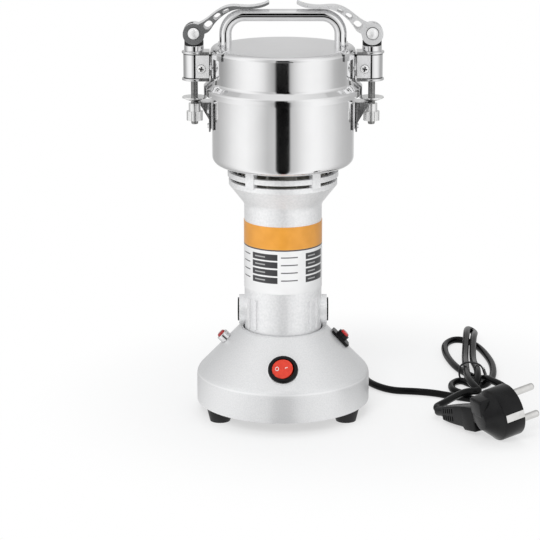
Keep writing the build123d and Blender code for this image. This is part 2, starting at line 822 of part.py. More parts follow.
# Brackets riveted to the lid: plate on the wall, strap over the shoulder, tongue over the skirt,
# and two lugs that the sleeve is screwed to.
with BuildPart() as lid_brackets:
    for side in (-1, 1):
        for half_angle, points, bends in (
            (17.5, plate_line, ()),
            (33.0, strap_line, strap_bends),
            (8.0, tongue_line, ()),
        ):
            turn = -half_angle + (0 if side > 0 else 180)
            with BuildSketch(Plane.XZ.rotated((0, 0, turn))):
                Polygon(*points, align=None)
                for x, z, radius in bends:
                    fillet(corner(x, z), radius)
            revolve(axis=Axis.Z, revolution_arc=2 * half_angle)
        for y in (-lug_half_gap - lug_sheet, lug_half_gap):
            with BuildSketch(Plane.XZ.offset(-y - lug_sheet)):
                with Locations((side * 52.1, 238)):
                    RectangleRounded(9.8, 13.0, 1.5)
                with Locations((side * sleeve_screw_x, sleeve_screw_z)):
                    Circle(1.75, mode=Mode.SUBTRACT)
            extrude(amount=lug_sheet)
lid_brackets.part.label = "lid_brackets"
export_step(lid_brackets.part, "parts/lid_brackets.step")

# Sheet sleeves: round outboard, flat cheeks running in to the brackets.
cheek = rod_x - sleeve_inboard_x
with BuildPart() as sleeves:
    for side in (-1, 1):
        with BuildSketch(Plane.XY.offset(sleeve_bottom)):
            with Locations((side * rod_x, 0)):
                Circle(sleeve_radius)
            with Locations((side * (rod_x - cheek / 2), 0)):
                Rectangle(cheek, 2 * sleeve_radius)
                Rectangle(cheek + 0.01, 2 * (sleeve_radius - sleeve_sheet), mode=Mode.SUBTRACT)
            with Locations((side * rod_x, 0)):
                Circle(sleeve_radius - sleeve_sheet, mode=Mode.SUBTRACT)
        extrude(amount=sleeve_top - sleeve_bottom)
        with BuildSketch(Plane.XZ.offset(-20)):
            with Locations((side * sleeve_screw_x, sleeve_screw_z)):
                Circle(1.75)
        extrude(amount=40, mode=Mode.SUBTRACT)
sleeves.part.label = "clamp_sleeves"
export_step(sleeves.part, "parts/clamp_sleeves.step")

# Pressed plates that close the sleeves above and below, slotted for the rods' swing.
with BuildPart() as sleeve_ends:
    for side in (-1, 1):
        for low, slot in ((sleeve_top, 2.4), (sleeve_bottom - end_plate, 4.2)):
            with BuildSketch(Plane.XY.offset(low)):
                with Locations((side * rod_x, 0)):
                    Circle(end_plate_radius)
                with Locations((side * (rod_x - cheek / 2), 0)):
                    Rectangle(cheek, 2 * sleeve_radius)
                with Locations((side * (rod_x + slot / 2), 0)):
                    SlotCenterToCenter(slot, 2 * slot_half_width, mode=Mode.SUBTRACT)
            extrude(amount=end_plate)
    rims = edges().filter_by(GeomType.CIRCLE)
    fillet(rims.filter_by(lambda e: abs(e.radius - end_plate_radius) < 0.01), 0.5)
sleeve_ends.part.label = "sleeve_end_plates"
export_step(sleeve_ends.part, "parts/sleeve_end_plates.step")

collar_low = sleeve_top + end_plate
with BuildPart() as collars:
    for side in (-1, 1):
        with BuildSketch(Plane.XY.offset(collar_low)):
            with Locations((side * rod_x, 0)):
                Circle(collar_radius)
            with Locations((side * (rod_x + 0.8), 0)):
                SlotCenterToCenter(1.6, 2 * slot_half_width, mode=Mode.SUBTRACT)
        extrude(amount=collar_height)
    rims = edges().filter_by(GeomType.CIRCLE)
    chamfer(rims.filter_by(lambda e: abs(e.radius - collar_radius) < 0.01), 0.5)
collars.part.label = "clamp_collars"
export_step(collars.part, "parts/clamp_collars.step")

# Plastic saddles that the cams turn in.
with BuildPart() as cradles:
    for side in (-1, 1):
        with BuildSketch(Plane.XY.offset(collar_low + collar_height)):
            with Locations((side * rod_x, 0)):
                Circle(collar_radius - 0.2)
            with Locations((side * (rod_x + 0.6), 0)):
                SlotCenterToCenter(1.2, 2 * slot_half_width, mode=Mode.SUBTRACT)
        extrude(amount=4.4)
        with BuildSketch(Plane.XZ.offset(-20)):
            with Locations((side * rod_x, pin_z)):
                Circle(cradle_seat)
        extrude(amount=40, mode=Mode.SUBTRACT)
cradles.part.label = "cam_cradles"
export_step(cradles.part, "parts/cam_cradles.step")

# Bowl ears: saddle on the wall, upright plate, notched shelf and one gusset each.
with BuildPart() as ears:
    for side in (-1, 1):
        gusset_y = -side * 5.6
        with BuildSketch(Plane.XY.offset(saddle_low)):
            Circle(48.1)
            Circle(bowl_radius + 0.01, mode=Mode.SUBTRACT)
            with BuildSketch(mode=Mode.INTERSECT):
                half = 60 * tan(radians(17))
                Polygon((0, 0), (side * 60, half), (side * 60, -half), align=None)
        extrude(amount=ear_top - saddle_low)
        with BuildSketch(Plane.XY.offset(ear_low)):
            with Locations((side * 48.4, 0)):
                Rectangle(ear_sheet, ear_width)
        extrude(amount=ear_top - ear_low)
        with BuildSketch(Plane.XY.offset(ear_top - ear_sheet)):
            with Locations((side * (48.2 + ear_reach) / 2, 0)):
                Rectangle(ear_reach - 48.2, ear_width)
            with Locations((side * rod_x, 0)):
                Circle(rod_radius + 0.45, mode=Mode.SUBTRACT)
            with Locations((side * (rod_x + 2), 0)):
                Rectangle(4, 2 * (rod_radius + 0.45), mode=Mode.SUBTRACT)
        extrude(amount=ear_sheet)
        with BuildSketch(Plane.XZ.offset(-gusset_y - 0.6)):
            Polygon(
                (side * 48.6, ear_top - 0.5),
                (side * 57.0, ear_top - 0.5),
                (side * 48.6, 199.4),
                align=None,
            )
        extrude(amount=1.2)
ears.part.label = "bowl_ears"
export_step(ears.part, "parts/bowl_ears.step")

# The moving pieces of each clamp have a node for each side.
for side, name in sides:
    # Rod: threaded below, flat eye round the pin above.
    with BuildPart() as rod:
        with BuildSketch(Plane.XY.offset(rod_low)):
            with Locations((side * rod_x, 0)):
                Circle(rod_radius)
        extrude(amount=pin_z - rod_low - 2)
        fillet(faces().sort_by(Axis.Z)[0].edges(), 0.8)
        with BuildSketch(Plane.XZ.offset(-eye_half_width)):
            with Locations((side * rod_x, pin_z)):
                Circle(3.9)
        extrude(amount=2 * eye_half_width)
        with BuildSketch(Plane.XZ.offset(-4)):
            with Locations((side * rod_x, pin_z)):
                Circle(pin_radius + 0.06)
        extrude(amount=8, mode=Mode.SUBTRACT)
    rod.part.label = f"{name}_rod"
    export_step(rod.part, f"parts/{name}_rod.step")

    # Dished washer that sits over the ear's notch.
    with BuildPart() as dish_washer:
        with BuildSketch(Plane.XZ.shift_origin((side * rod_x, 0, 0))):
            Polygon(
                (rod_radius + 0.02, dish_low),
                (4.4, dish_low),
                (8.2, dish_low + 1.75),
                (8.0, dish_low + 2.55),
                (4.1, dish_low + 0.95),
                (rod_radius + 0.02, dish_low + 0.95),
                align=None,
            )
        revolve(axis=Axis((side * rod_x, 0, 0), (0, 0, 1)))
    dish_washer.part.label = f"{name}_dish_washer"
    export_step(dish_washer.part, f"parts/{name}_dish_washer.step")

    # Fluted thumb nut with a plain collar.
    with BuildPart() as thumb_nut:
        with BuildSketch(Plane.XY.offset(nut_low)):
            with Locations((side * rod_x, 0)):
                Circle(5.4)
                with PolarLocations(5.7, 10):
                    Circle(0.85, mode=Mode.SUBTRACT)
        extrude(amount=flute_top - nut_low)
        with BuildSketch(Plane.XY.offset(flute_top)):
            with Locations((side * rod_x, 0)):
                Circle(3.9)
        extrude(amount=nut_top - flute_top)
        with BuildSketch(Plane.XY.offset(nut_low)):
            with Locations((side * rod_x, 0)):
                Circle(rod_radius + 0.06)
        extrude(amount=nut_top - nut_low, mode=Mode.SUBTRACT)
    thumb_nut.part.label = f"{name}_thumb_nut"
    export_step(thumb_nut.part, f"parts/{name}_thumb_nut.step")

    # Cam lever: forked head round the rod's eye, arched arm with three holes.
    with BuildPart() as cam_lever:
        with BuildSketch(Plane.XZ.offset(-lever_half_width)):
            with BuildLine():
                top_edge = Spline(*[(side * (rod_x - u), z) for u, z in lever_top])
                low_edge = Spline(*[(side * (rod_x - u), z) for u, z in lever_low])
                Line(top_edge @ 1, low_edge @ 0)
                Line(low_edge @ 1, top_edge @ 0)
            make_face()
            with Locations((side * rod_x, pin_z - cam_offset)):
                Circle(cam_radius)
        extrude(amount=2 * lever_half_width)
        with BuildSketch(Plane.XZ.offset(-20)):
            for u, z, length, height, tilt in lever_holes:
                with Locations((side * (rod_x - u), z)):
                    SlotOverall(length, height, rotation=-side * tilt)
        extrude(amount=40, mode=Mode.SUBTRACT)
        with BuildSketch(Plane.XZ.offset(-eye_half_width - 0.3)):
            with Locations((side * rod_x, pin_z)):
                Circle(4.3)
                Polygon(
                    (-side * 2.8, 0),
                    (-side * 1.0, 4.2),
                    (side * 4.5, 14),
                    (side * 16, 14),
                    (side * 16, -14),
                    (-side * 2.8, -14),
                    align=None,
                )
        extrude(amount=2 * eye_half_width + 0.6, mode=Mode.SUBTRACT)
        with BuildSketch(Plane.XZ.offset(-20)):
            with Locations((side * rod_x, pin_z)):
                Circle(pin_radius + 0.06)
        extrude(amount=40, mode=Mode.SUBTRACT)
    cam_lever.part.label = f"{name}_cam_lever"
    export_step(cam_lever.part, f"parts/{name}_cam_lever.step")

    with BuildPart() as lever_pin:
        with BuildSketch(Plane.XZ.offset(-lever_half_width - 0.1)):
            with Locations((side * rod_x, pin_z)):
                Circle(pin_radius)
        extrude(amount=2 * lever_half_width + 0.2)
        for facing in (-1, 1):
            head_plane = Plane(
                origin=(side * rod_x, facing * (lever_half_width + 0.05), pin_z),
                x_dir=(facing, 0, 0),
                z_dir=(0, facing, 0),
            )
            with BuildSketch(head_plane):
                Circle(4.2)
            extrude(amount=1.7)
        fillet(edges().filter_by(GeomType.CIRCLE).group_by(Axis.Y)[0], 1.3)
        fillet(edges().filter_by(GeomType.CIRCLE).group_by(Axis.Y)[-1], 1.3)
    lever_pin.part.label = f"{name}_lever_pin"
    export_step(lever_pin.part, f"parts/{name}_lever_pin.step")

with BuildPart() as sleeve_screws:
    for side in (-1, 1):
        with BuildSketch(Plane.XZ.offset(-sleeve_radius)):
            with Locations((side * sleeve_screw_x, sleeve_screw_z)):
                Circle(1.6)
        extrude(amount=2 * sleeve_radius)
        for facing in (-1, 1):
            head_plane = Plane(
                origin=(side * sleeve_screw_x, facing * sleeve_radius, sleeve_screw_z),
                x_dir=(facing, 0, 0),
                z_dir=(0, facing, 0),
            )
            with BuildSketch(head_plane):
                Circle(2.8)
            extrude(amount=1.3)
            with BuildSketch(head_plane.offset(0.7)):
                Rectangle(3.4, 0.7, rotation=45)
                Rectangle(0.7, 3.4, rotation=45)
            extrude(amount=2, mode=Mode.SUBTRACT)
sleeve_screws.part.label = "sleeve_screws"
export_step(sleeve_screws.part, "parts/sleeve_screws.step")

with BuildPart() as rivets:
    for side in (-1, 1):
        facing = 0 if side > 0 else 180
        for swing in (-13.5, 13.5):
            a = radians(facing + swing)
            out = (cos(a), sin(a))
            spot = (bracket_outer * out[0], bracket_outer * out[1], 238.0)
            with BuildSketch(Plane(origin=spot, z_dir=(out[0], out[1], 0)).offset(-0.03)):
                Circle(1.6)
            extrude(amount=1.2)
        for swing in (-26.5, 26.5):
            a = radians(facing + swing)
            out = (cos(a), sin(a))
            spot = (46.47 * out[0], 46.47 * out[1], 250.09)
            with BuildSketch(Plane(origin=spot, z_dir=(out[0], out[1], 1.2)).offset(-0.45)):
                Circle(1.9)
            extrude(amount=1.4, taper=24)
        for y, z in ((0, 197.4), (side * 1.6, 207.5)):
            with BuildSketch(side_plane(side, z, 48.9)):
                with Locations((y * side, 0)):
                    Circle(1.9)
            extrude(amount=1.2, taper=20)
rivets.part.label = "rivets"
export_step(rivets.part, "parts/rivets.step")

# ================================================================ label and controls
with BuildPart() as rating_label:
    with BuildSketch(Plane.XY.offset(label_low)):
        Circle(neck_radius + 0.3)
        Circle(neck_radius + 0.01, mode=Mode.SUBTRACT)
        with BuildSketch(mode=Mode.INTERSECT):
            Polygon((0, 0), (-80, 40), (-80, -60), (80, -60), (80, 40), align=None)
    extrude(amount=label_high - label_low)
rating_label.part.label = "rating_label"
export_step(rating_label.part, "parts/rating_label.step")

# The switch's pivot lies up the slope, a little under the cone's surface.
pivot_spot = switch_plane.from_local_coords((0, 0, -pivot_depth))
pivot_plane = Plane(origin=pivot_spot, x_dir=switch_plane.x_dir, z_dir=switch_plane.y_dir)
with BuildPart() as switch_bezel:
    with BuildSketch(switch_plane.offset(-14)):
        Circle(8.8)
        Circle(7.7, mode=Mode.SUBTRACT)
    extrude(amount=15)
    with BuildSketch(switch_plane.offset(0.15)):
        Circle(bezel_radius)
        Circle(rocker_radius + 0.45, mode=Mode.SUBTRACT)
    extrude(amount=2.0)
    rims = edges().filter_by(GeomType.CIRCLE).filter_by(lambda e: abs(e.radius - bezel_radius) < 0.01)
    fillet(rims.sort_by(Axis.Y)[:1], 1.2)
    with BuildSketch(switch_plane.offset(-14)):
        Circle(7.8)
    extrude(amount=3)
    with BuildSketch(switch_plane.offset(-14)):
        with GridLocations(6.0, 0, 2, 1):
            Rectangle(0.8, 4.8)
    extrude(amount=-6)
    with BuildSketch(pivot_plane.offset(-9)):
        Circle(pivot_radius + 0.08)
    extrude(amount=18, mode=Mode.SUBTRACT)
switch_bezel.part.label = "switch_body"
export_step(switch_bezel.part, "parts/switch_body.step")

# Rocker: round button with two faces that meet in a shallow valley, tilted to its rest side.
pivot_line = Axis((0, 0, 0), switch_plane.y_dir)
rocker_plane = Plane(
    origin=pivot_spot,
    x_dir=switch_plane.x_dir.rotate(pivot_line, -rocker_tilt),
    z_dir=switch_plane.z_dir.rotate(pivot_line, -rocker_tilt),
).offset(pivot_depth)
valley = 1.6
rocker_edge = 9.0
rocker_rise = 1.3 + rocker_edge * tan(radians(rocker_tilt))
with BuildPart() as switch_rocker:
    with BuildSketch(rocker_plane.offset(-5.5)):
        Circle(rocker_radius - 0.15)
    extrude(amount=9.5)
    cross_view = Plane(origin=rocker_plane.origin, x_dir=rocker_plane.x_dir, z_dir=-rocker_plane.y_dir)
    with BuildSketch(cross_view.offset(-10)):
        Polygon(
            (-rocker_edge, rocker_rise),
            (0, valley),
            (rocker_edge, rocker_rise),
            (rocker_edge, 8),
            (-rocker_edge, 8),
            align=None,
        )
    extrude(amount=20, mode=Mode.SUBTRACT)
    with BuildSketch(pivot_plane.offset(-8.5)):
        Circle(pivot_radius)
    extrude(amount=17)
switch_rocker.part.label = "switch_rocker"
export_step(switch_rocker.part, "parts/switch_rocker.step")

with BuildPart() as lamp_bezel:
    with BuildSketch(lamp_plane.offset(0.2)):
        Circle(collar_outer)
        Circle(lamp_bore, mode=Mode.SUBTRACT)
    extrude(amount=collar_reach - 0.2)
    with BuildSketch(lamp_plane.offset(-9)):
        Circle(3.4)
        Circle(lamp_bore, mode=Mode.SUBTRACT)
    extrude(amount=9.6)
    rims = edges().filter_by(GeomType.CIRCLE).filter_by(lambda e: abs(e.radius - collar_outer) < 0.01)
    fillet(rims.sort_by(Axis.X)[:1], 0.6)
lamp_bezel.part.label = "lamp_bezel"
export_step(lamp_bezel.part, "parts/lamp_bezel.step")

with BuildPart() as lamp_lens:
    with BuildSketch(lamp_plane.offset(-6)):
        Circle(lamp_bore - 0.1)
    extrude(amount=6 + button_reach)
    fillet(faces().sort_by(Axis.X)[0].edges(), 1.3)
lamp_lens.part.label = "lamp_lens"
export_step(lamp_lens.part, "parts/lamp_lens.step")

# Reset breaker: plate on the cone, collar, and a body that reaches into the base.
with BuildPart() as breaker_body:
    with BuildSketch(breaker_plane.offset(0.25)):
        RectangleRounded(breaker_plate_width, breaker_plate_length, 2.5)
    extrude(amount=1.7)
    with BuildSketch(breaker_plane.offset(-10.5)):
        Circle(3.5)
    extrude(amount=11)
    with BuildSketch(breaker_plane.offset(1.2)):
        Circle(collar_outer)
    extrude(amount=collar_reach - 1.2)
    with BuildSketch(breaker_plane.offset(-4)):
        Circle(stem_radius + 0.15)
    extrude(amount=10, mode=Mode.SUBTRACT)
    with BuildSketch(breaker_plane.offset(0.6)):
        Circle(button_radius + 0.2)
    extrude(amount=10, mode=Mode.SUBTRACT)
breaker_body.part.label = "breaker_body"
export_step(breaker_body.part, "parts/breaker_body.step")

with BuildPart() as breaker_button:
    with BuildSketch(breaker_plane.offset(-2)):
        Circle(stem_radius)
    extrude(amount=5)
    with BuildSketch(breaker_plane.offset(2.6)):
        Circle(button_radius)
    extrude(amount=button_reach - 2.6)
    fillet(faces().sort_by(Axis.X)[-1].edges(), 0.9)
breaker_button.part.label = "breaker_button"
export_step(breaker_button.part, "parts/breaker_button.step")

# ================================================================ cord
gland_reach = gland_tip_y - base_radius + 1.0
with BuildPart() as cord_gland:
    with BuildSketch(gland_plane.offset(-4)):
        Circle(5.0)
    extrude(amount=5.2)
    with BuildSketch(gland_plane.offset(1.2)):
        Circle(6.6)
    extrude(amount=2.6)
    with BuildSketch(gland_plane.offset(3.8)):
        Circle(4.9)
    with BuildSketch(gland_plane.offset(gland_reach)):
        Circle(3.3)
    loft()
cord_gland.part.label = "cord_gland"
export_step(cord_gland.part, "parts/cord_gland.step")

# Lead from the gland to the hank: straight runs joined by tangent arcs.
lead_route = [
    (0, gland_tip_y, gland_z),
    (0, 94, gland_z),
    (6, 109, 9),
    (20, 117, floor_z),
    (37, 114, floor_z),
    (49, 101, floor_z),
    (55, 83, floor_z),
    (57.3, 65, floor_z),
    (61.5, 47.5, floor_z),
    (75, 31.5, floor_z),
    (92, 29.5, floor_z),
    (105, 26, floor_z),
    (116, 19.5, floor_z),
]


def bend_radii(route):
    """Largest arc for each corner that both of its runs have room for."""
    points = [Vector(*point) for point in route]
    radii = []
    for before, here, after in zip(points, points[1:], points[2:]):
        turn = radians((here - before).get_angle(after - here))
        shorter = min((here - before).length, (after - here).length)
        radii.append(0.45 * shorter / tan(turn / 2))
    return radii


lead_radii = bend_radii(lead_route)
print("lead radii", [round(radius, 1) for radius in lead_radii])
with BuildPart() as cord_lead:
    with BuildLine():
        lead_path = FilletPolyline(*lead_route, radius=lead_radii)
    with BuildSketch(Plane(origin=lead_path @ 0, z_dir=lead_path % 0)):
        Circle(cord_radius)
    sweep(path=lead_path)
cord_lead.part.label = "cord_lead"
export_step(cord_lead.part, "parts/cord_lead.step")
lead_section = pi * cord_radius**2
print("lead length", round(lead_path.length, 1))
print("lead volume ratio", round(cord_lead.part.volume / (lead_section * lead_path.length), 4))

# Tied hank on the floor, and the short end that runs from it into the plug.
hank_outline = [
    (100.0, 2.0),
    (113.5, 20.0),
    (122.0, 38.0),
    (128.0, 66.0),
    (113.0, 112.0),
    (118.0, 145.0),
    (134.0, 160.0),
    (141.0, 184.0),
    (149.0, 186.0),
    (153.0, 160.0),
    (160.0, 118.0),
    (159.0, 80.0),
    (155.0, 40.0),
    (156.0, 14.0),
    (140.0, 0.0),
    (118.0, -6.0),
    (nose.X + nose_radius * grip_dir.Y, nose.Y - nose_radius * grip_dir.X),
    (nose.X - nose_radius * grip_dir.Y, nose.Y + nose_radius * grip_dir.X),
]
with BuildPart() as cord_hank:
    with BuildSketch(Plane.XY.offset(0.1)):
        with BuildLine():
            Polyline(*hank_outline, close=True)
        make_face()
    extrude(amount=hank_height)
cord_hank.part.label = "cord_hank"
export_step(cord_hank.part, "parts/cord_hank.step")

# ================================================================ plug
with BuildPart() as plug_body:
    with BuildSketch(plug_face):
        Circle(plug_radius)
    extrude(amount=-plug_head)
    with BuildSketch(plug_face.offset(-plug_head)):
        Circle(plug_radius)
    with BuildSketch(plug_face.offset(-plug_head - 10)):
        Circle(11.5)
    loft()
    root, waist, grip = (
        Plane(origin=spot, x_dir=plug_face.z_dir, z_dir=grip_dir) for spot in grip_line[:3]
    )
    with BuildSketch(root):
        RectangleRounded(20, 28, 5)
    with BuildSketch(waist):
        RectangleRounded(17, 19, 4.5)
    with BuildSketch(grip):
        RectangleRounded(12.5, 12.5, 4)
    loft()
    with BuildSketch(grip):
        Circle(5.0)
    with BuildSketch(Plane(origin=nose, x_dir=plug_face.z_dir, z_dir=grip_dir)):
        Circle(nose_radius)
    loft()
    for notch in range(4):
        with BuildSketch(grip.offset(-3 - 3.2 * notch)):
            Rectangle(34, 34)
            RectangleRounded(11.8 + 0.7 * notch, 12.0 + 0.9 * notch, 3.6, mode=Mode.SUBTRACT)
        extrude(amount=-1.1, mode=Mode.SUBTRACT)
    for facing in (-1, 1):
        with BuildSketch(plug_face):
            with Locations(Location((0, 0, 0), (0, 0, plug_twist))):
                with Locations((facing * (plug_radius - 0.7), 0)):
                    Rectangle(2.2, clip_width + 0.4)
        extrude(amount=-clip_length - 0.3, mode=Mode.SUBTRACT)
plug_body.part.label = "plug_body"
export_step(plug_body.part, "parts/plug_body.step")

with BuildPart() as plug_contacts:
    with BuildSketch(plug_face):
        with Locations(Location((0, 0, 0), (0, 0, plug_twist))):
            with GridLocations(0, contact_pin_spacing, 1, 2):
                Circle(contact_pin_radius)
    extrude(amount=contact_pin_length)
    pin_ends = edges().filter_by(GeomType.CIRCLE).sort_by(Axis(plug_face.origin, plug_face.z_dir))
    fillet(pin_ends[-2:], 1.6)
    for facing in (-1, 1):
        with BuildSketch(plug_face.offset(-0.1)):
            with Locations(Location((0, 0, 0), (0, 0, plug_twist))):
                with Locations((facing * (plug_radius - 1.8 + clip_depth / 2), 0)):
                    Rectangle(clip_depth, clip_width)
        extrude(amount=-clip_length)
plug_contacts.part.label = "plug_contacts"
export_step(plug_contacts.part, "parts/plug_contacts.step")
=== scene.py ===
from math import cos, pi, radians, sin

import bpy
from mathutils import Matrix, Vector


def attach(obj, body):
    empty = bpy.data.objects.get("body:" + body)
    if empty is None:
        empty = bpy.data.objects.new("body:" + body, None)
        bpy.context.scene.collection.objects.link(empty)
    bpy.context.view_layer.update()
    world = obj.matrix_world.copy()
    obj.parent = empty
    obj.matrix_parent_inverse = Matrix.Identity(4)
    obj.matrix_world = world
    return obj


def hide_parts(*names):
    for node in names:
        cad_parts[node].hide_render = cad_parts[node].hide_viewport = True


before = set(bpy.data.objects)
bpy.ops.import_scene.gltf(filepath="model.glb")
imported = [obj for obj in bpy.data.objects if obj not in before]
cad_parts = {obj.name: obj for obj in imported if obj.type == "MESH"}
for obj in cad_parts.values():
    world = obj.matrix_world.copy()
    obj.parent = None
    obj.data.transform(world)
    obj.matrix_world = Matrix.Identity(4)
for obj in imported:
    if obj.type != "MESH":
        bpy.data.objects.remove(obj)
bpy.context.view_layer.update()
scene = bpy.context.scene
mm = 0.001

# ------------------------------------------------------------------ places on the mill, in millimetres
rod_side = 58.5  # the rods and the lever pins, from the middle plane
lever_pin_height = 259.7
screw_side, screw_height = 53.6, 236.5  # the screws through the sleeves
sleeve_middle = 237.9  # half way up a sleeve
switch_spot = Vector((0, -46.16, 42.0))  # the switch's middle, on the base's cone
relief_foot = (0, 58.8, 17)  # where the strain relief sits on the base
cord_entry = (106.8, -23.5, 5.94)  # where the cord goes into the plug
plug_face = (150.3, -59.3, 19.93)  # the middle of the face that carries the pins

# ------------------------------------------------------------------ camera
look_down = 14.87  # degrees below level
eye = bpy.data.cameras.new("camera")
eye.sensor_width = 36.0
eye.lens = 143.0
eye.shift_x = -0.0241
camera = bpy.data.objects.new("camera", eye)
camera.location = (0.0, -1.400, 0.470)
camera.rotation_euler = (radians(90 - look_down), 0, 0)
scene.collection.objects.link(camera)
scene.camera = camera
scene.view_settings.view_transform = "Standard"


# ------------------------------------------------------------------ cords
def laid_line(name, route, diameter, round_steps=6):
    """A round line along listed points, given in millimetres."""
    curve = bpy.data.curves.new(name, "CURVE")
    curve.dimensions = "3D"
    spline = curve.splines.new("NURBS")
    spline.points.add(len(route) - 1)
    for point, (x, y, z) in zip(spline.points, route):
        point.co = (x * mm, y * mm, z * mm, 1)
    spline.order_u = 3
    spline.use_endpoint_u = True
    spline.resolution_u = 8
    curve.bevel_depth = diameter * mm / 2
    curve.bevel_resolution = round_steps
    curve.use_fill_caps = True
    line = bpy.data.objects.new(name, curve)
    scene.collection.objects.link(line)
    return line


supply_cord = laid_line(
    "supply_cord",
    [
        # out of the strain relief, down and round the base
        (0, 82, 17), (0, 94, 17), (6, 109, 9), (20, 117, 2.6), (37, 114, 2.6), (49, 101, 2.6),
        (55, 83, 2.6), (57.3, 65, 2.6), (61.5, 47.5, 2.6), (75, 31.5, 2.6), (92, 29.5, 2.6),
        (105, 26, 2.6), (116, 19.5, 2.6),
        # on behind the plug and back
        (127, 14, 2.6), (138, 8.5, 2.6), (149, 2, 2.6), (158.5, 5, 2.8), (159, 17, 5), (153, 26, 8.2),
        # wide loop: left side up, over the top, right side down
        (147.5, 34.5, 8.4), (143.5, 43, 8.2), (140, 51.5, 4.6), (136.8, 60, 2.8), (131.8, 70, 2.6),
        (126, 84, 2.6), (122, 103, 2.6), (120, 124, 2.6), (121.5, 144, 2.6), (130, 157, 2.6),
        (140, 151, 2.6), (146.5, 135, 2.6), (150.5, 114, 2.6), (152.6, 92, 2.6), (151, 68, 2.6),
        (146.5, 50, 2.6),
        # small curl to the left of the tie
        (140, 41, 2.6), (132.5, 45, 2.6), (126.5, 55.5, 2.6), (119, 47, 2.6), (118.5, 33, 2.6),
        (124.5, 24.5, 2.6), (130.5, 25.5, 2.6), (135, 31, 4.4),
        # narrow loop: right side up, fold, left side down
        (137.2, 40, 9), (138, 53, 10.6), (138.2, 68, 8.8), (137.9, 86, 6.6), (138.9, 104, 6.6),
        (140.8, 124, 7.8), (142.8, 142, 8.4), (144.8, 157, 6.4), (146.2, 169, 3.6), (145, 176, 3.2),
        (141.4, 174, 5.4), (139.6, 163, 7.6), (138.2, 150, 8.8), (136.6, 135, 8.2), (134.6, 115, 6.8),
        (132.6, 94, 6.6), (131.2, 72, 8.4), (130.2, 52, 9.4), (129.6, 36, 10.4), (132.6, 22, 9.4),
        # last fold and into the plug's nose
        (136.5, 13.5, 7.8), (130, 14, 7.8), (124.5, 10.5, 7.9), (117.5, 1.5, 7.7), (110, -9.5, 7.2),
        (102.2, -18, 6.3), cord_entry,
    ],
    5.0,
)
wire_tie = laid_line(
    "wire_tie",
    [
        # round the strands, then along the floor
        (130, 60, 0.9), (127, 61, 1.0), (125.6, 61.5, 5), (126.2, 63.5, 10.4), (130.2, 64.6, 12.9),
        (135, 63.4, 13.4), (141.4, 59, 12.6), (143.2, 56, 7), (144.6, 58, 3.4), (145.8, 68, 2.8),
        (145.8, 84, 1.4),
    ],
    1.3,
    3,
)
tie_tip = laid_line("tie_tip", [(145.82, 83, 1.5), (145.8, 85, 1.35), (145.8, 88, 1.2)], 1.5, 3)


# ------------------------------------------------------------------ finishes
class Finish:
    """One finish, built from its own nodes, read in the object's own coordinates."""

    def __init__(self, name):
        self.material = bpy.data.materials.new(name)
        self.material.use_nodes = True
        self.tree = self.material.node_tree
        self.shader = self.tree.nodes["Principled BSDF"]
        self.place = self.tree.nodes.new("ShaderNodeTexCoord").outputs["Object"]

    def put(self, socket, value):
        """Joins a node's output to a socket, or sets the socket's own value."""
        if isinstance(value, bpy.types.NodeSocket):
            self.tree.links.new(value, socket)
        else:
            socket.default_value = value

    def node(self, kind, inputs, **settings):
        """The outputs of a new node, each of its named inputs joined or set."""
        node = self.tree.nodes.new("ShaderNode" + kind)
        for name, value in settings.items():
            setattr(node, name, value)
        for name, value in inputs.items():
            self.put(node.inputs[name], value)
        return node.outputs

    def shades(self, **values):
        """Joins or sets the shader's inputs, named in small letters."""
        for name, value in values.items():
            self.put(self.shader.inputs[name.replace("_", " ").title()], value)

    def noise(self, scale, detail=3.0, stretch=None):
        """Clouds or grain, stretched along an axis where its own scale is small."""
        place = self.place
        if stretch:
            place = self.node("Mapping", {"Vector": place, "Scale": stretch})["Vector"]
        return self.node("TexNoise", {"Vector": place, "Scale": scale, "Detail": detail})["Fac"]

    def cells(self, scale):
        """Distance from the middle of the nearest of many small cells."""
        return self.node("TexVoronoi", {"Vector": self.place, "Scale": scale})["Distance"]

    def axis(self, name):
        """The place along one of the object's own axes, in metres."""
        return self.node("SeparateXYZ", {"Vector": self.place})[name]

    def reach(self, spot):
        """Distance from a spot of the object, in metres."""
        return self.node("VectorMath", {0: self.place, 1: spot}, operation="DISTANCE")["Value"]

    def facing(self, name):
        """How squarely the surface looks along one of the object's own axes, 0 to 1."""
        normal = self.place.node.outputs["Normal"]
        return self.maths("ABSOLUTE", self.node("SeparateXYZ", {"Vector": normal})[name])

    def maths(self, operation, first, second=0.0):
        return self.node("Math", {0: first, 1: second}, operation=operation)[0]

    def off(self, source, middle):
        """How far a value is from a middle value, either way."""
        return self.maths("ABSOLUTE", self.maths("SUBTRACT", source, middle))

    def ramp(self, source, low_in, high_in, low_out, high_out):
        """Runs from one value to another while the source runs from low to high, and holds beyond."""
        limits = {"From Min": low_in, "From Max": high_in, "To Min": low_out, "To Max": high_out}
        return self.node("MapRange", {"Value": source, **limits})["Result"]

    def between(self, source, dark, light):
        """Colours from dark to light along the middle of a noise."""
        return self.blend(self.ramp(source, 0.35, 0.65, 0.0, 1.0), dark, light)

    def polish(self, source, smooth, dull):
        """Roughness from smooth to dull along the middle of a noise."""
        return self.ramp(source, 0.3, 0.7, smooth, dull)

    def blend(self, amount, first, second):
        """A mix of two colours, each a socket or three numbers."""
        colours = [c if isinstance(c, bpy.types.NodeSocket) else (*c, 1) for c in (first, second)]
        return self.node("Mix", {"Factor": amount, 6: colours[0], 7: colours[1]}, data_type="RGBA")[2]

    def relief(self, height, depth):
        """A bump of the given depth in millimetres."""
        bump = self.node("Bump", {"Strength": 1.0, "Distance": depth * mm, "Height": height})["Normal"]
        self.put(self.shader.inputs["Normal"], bump)


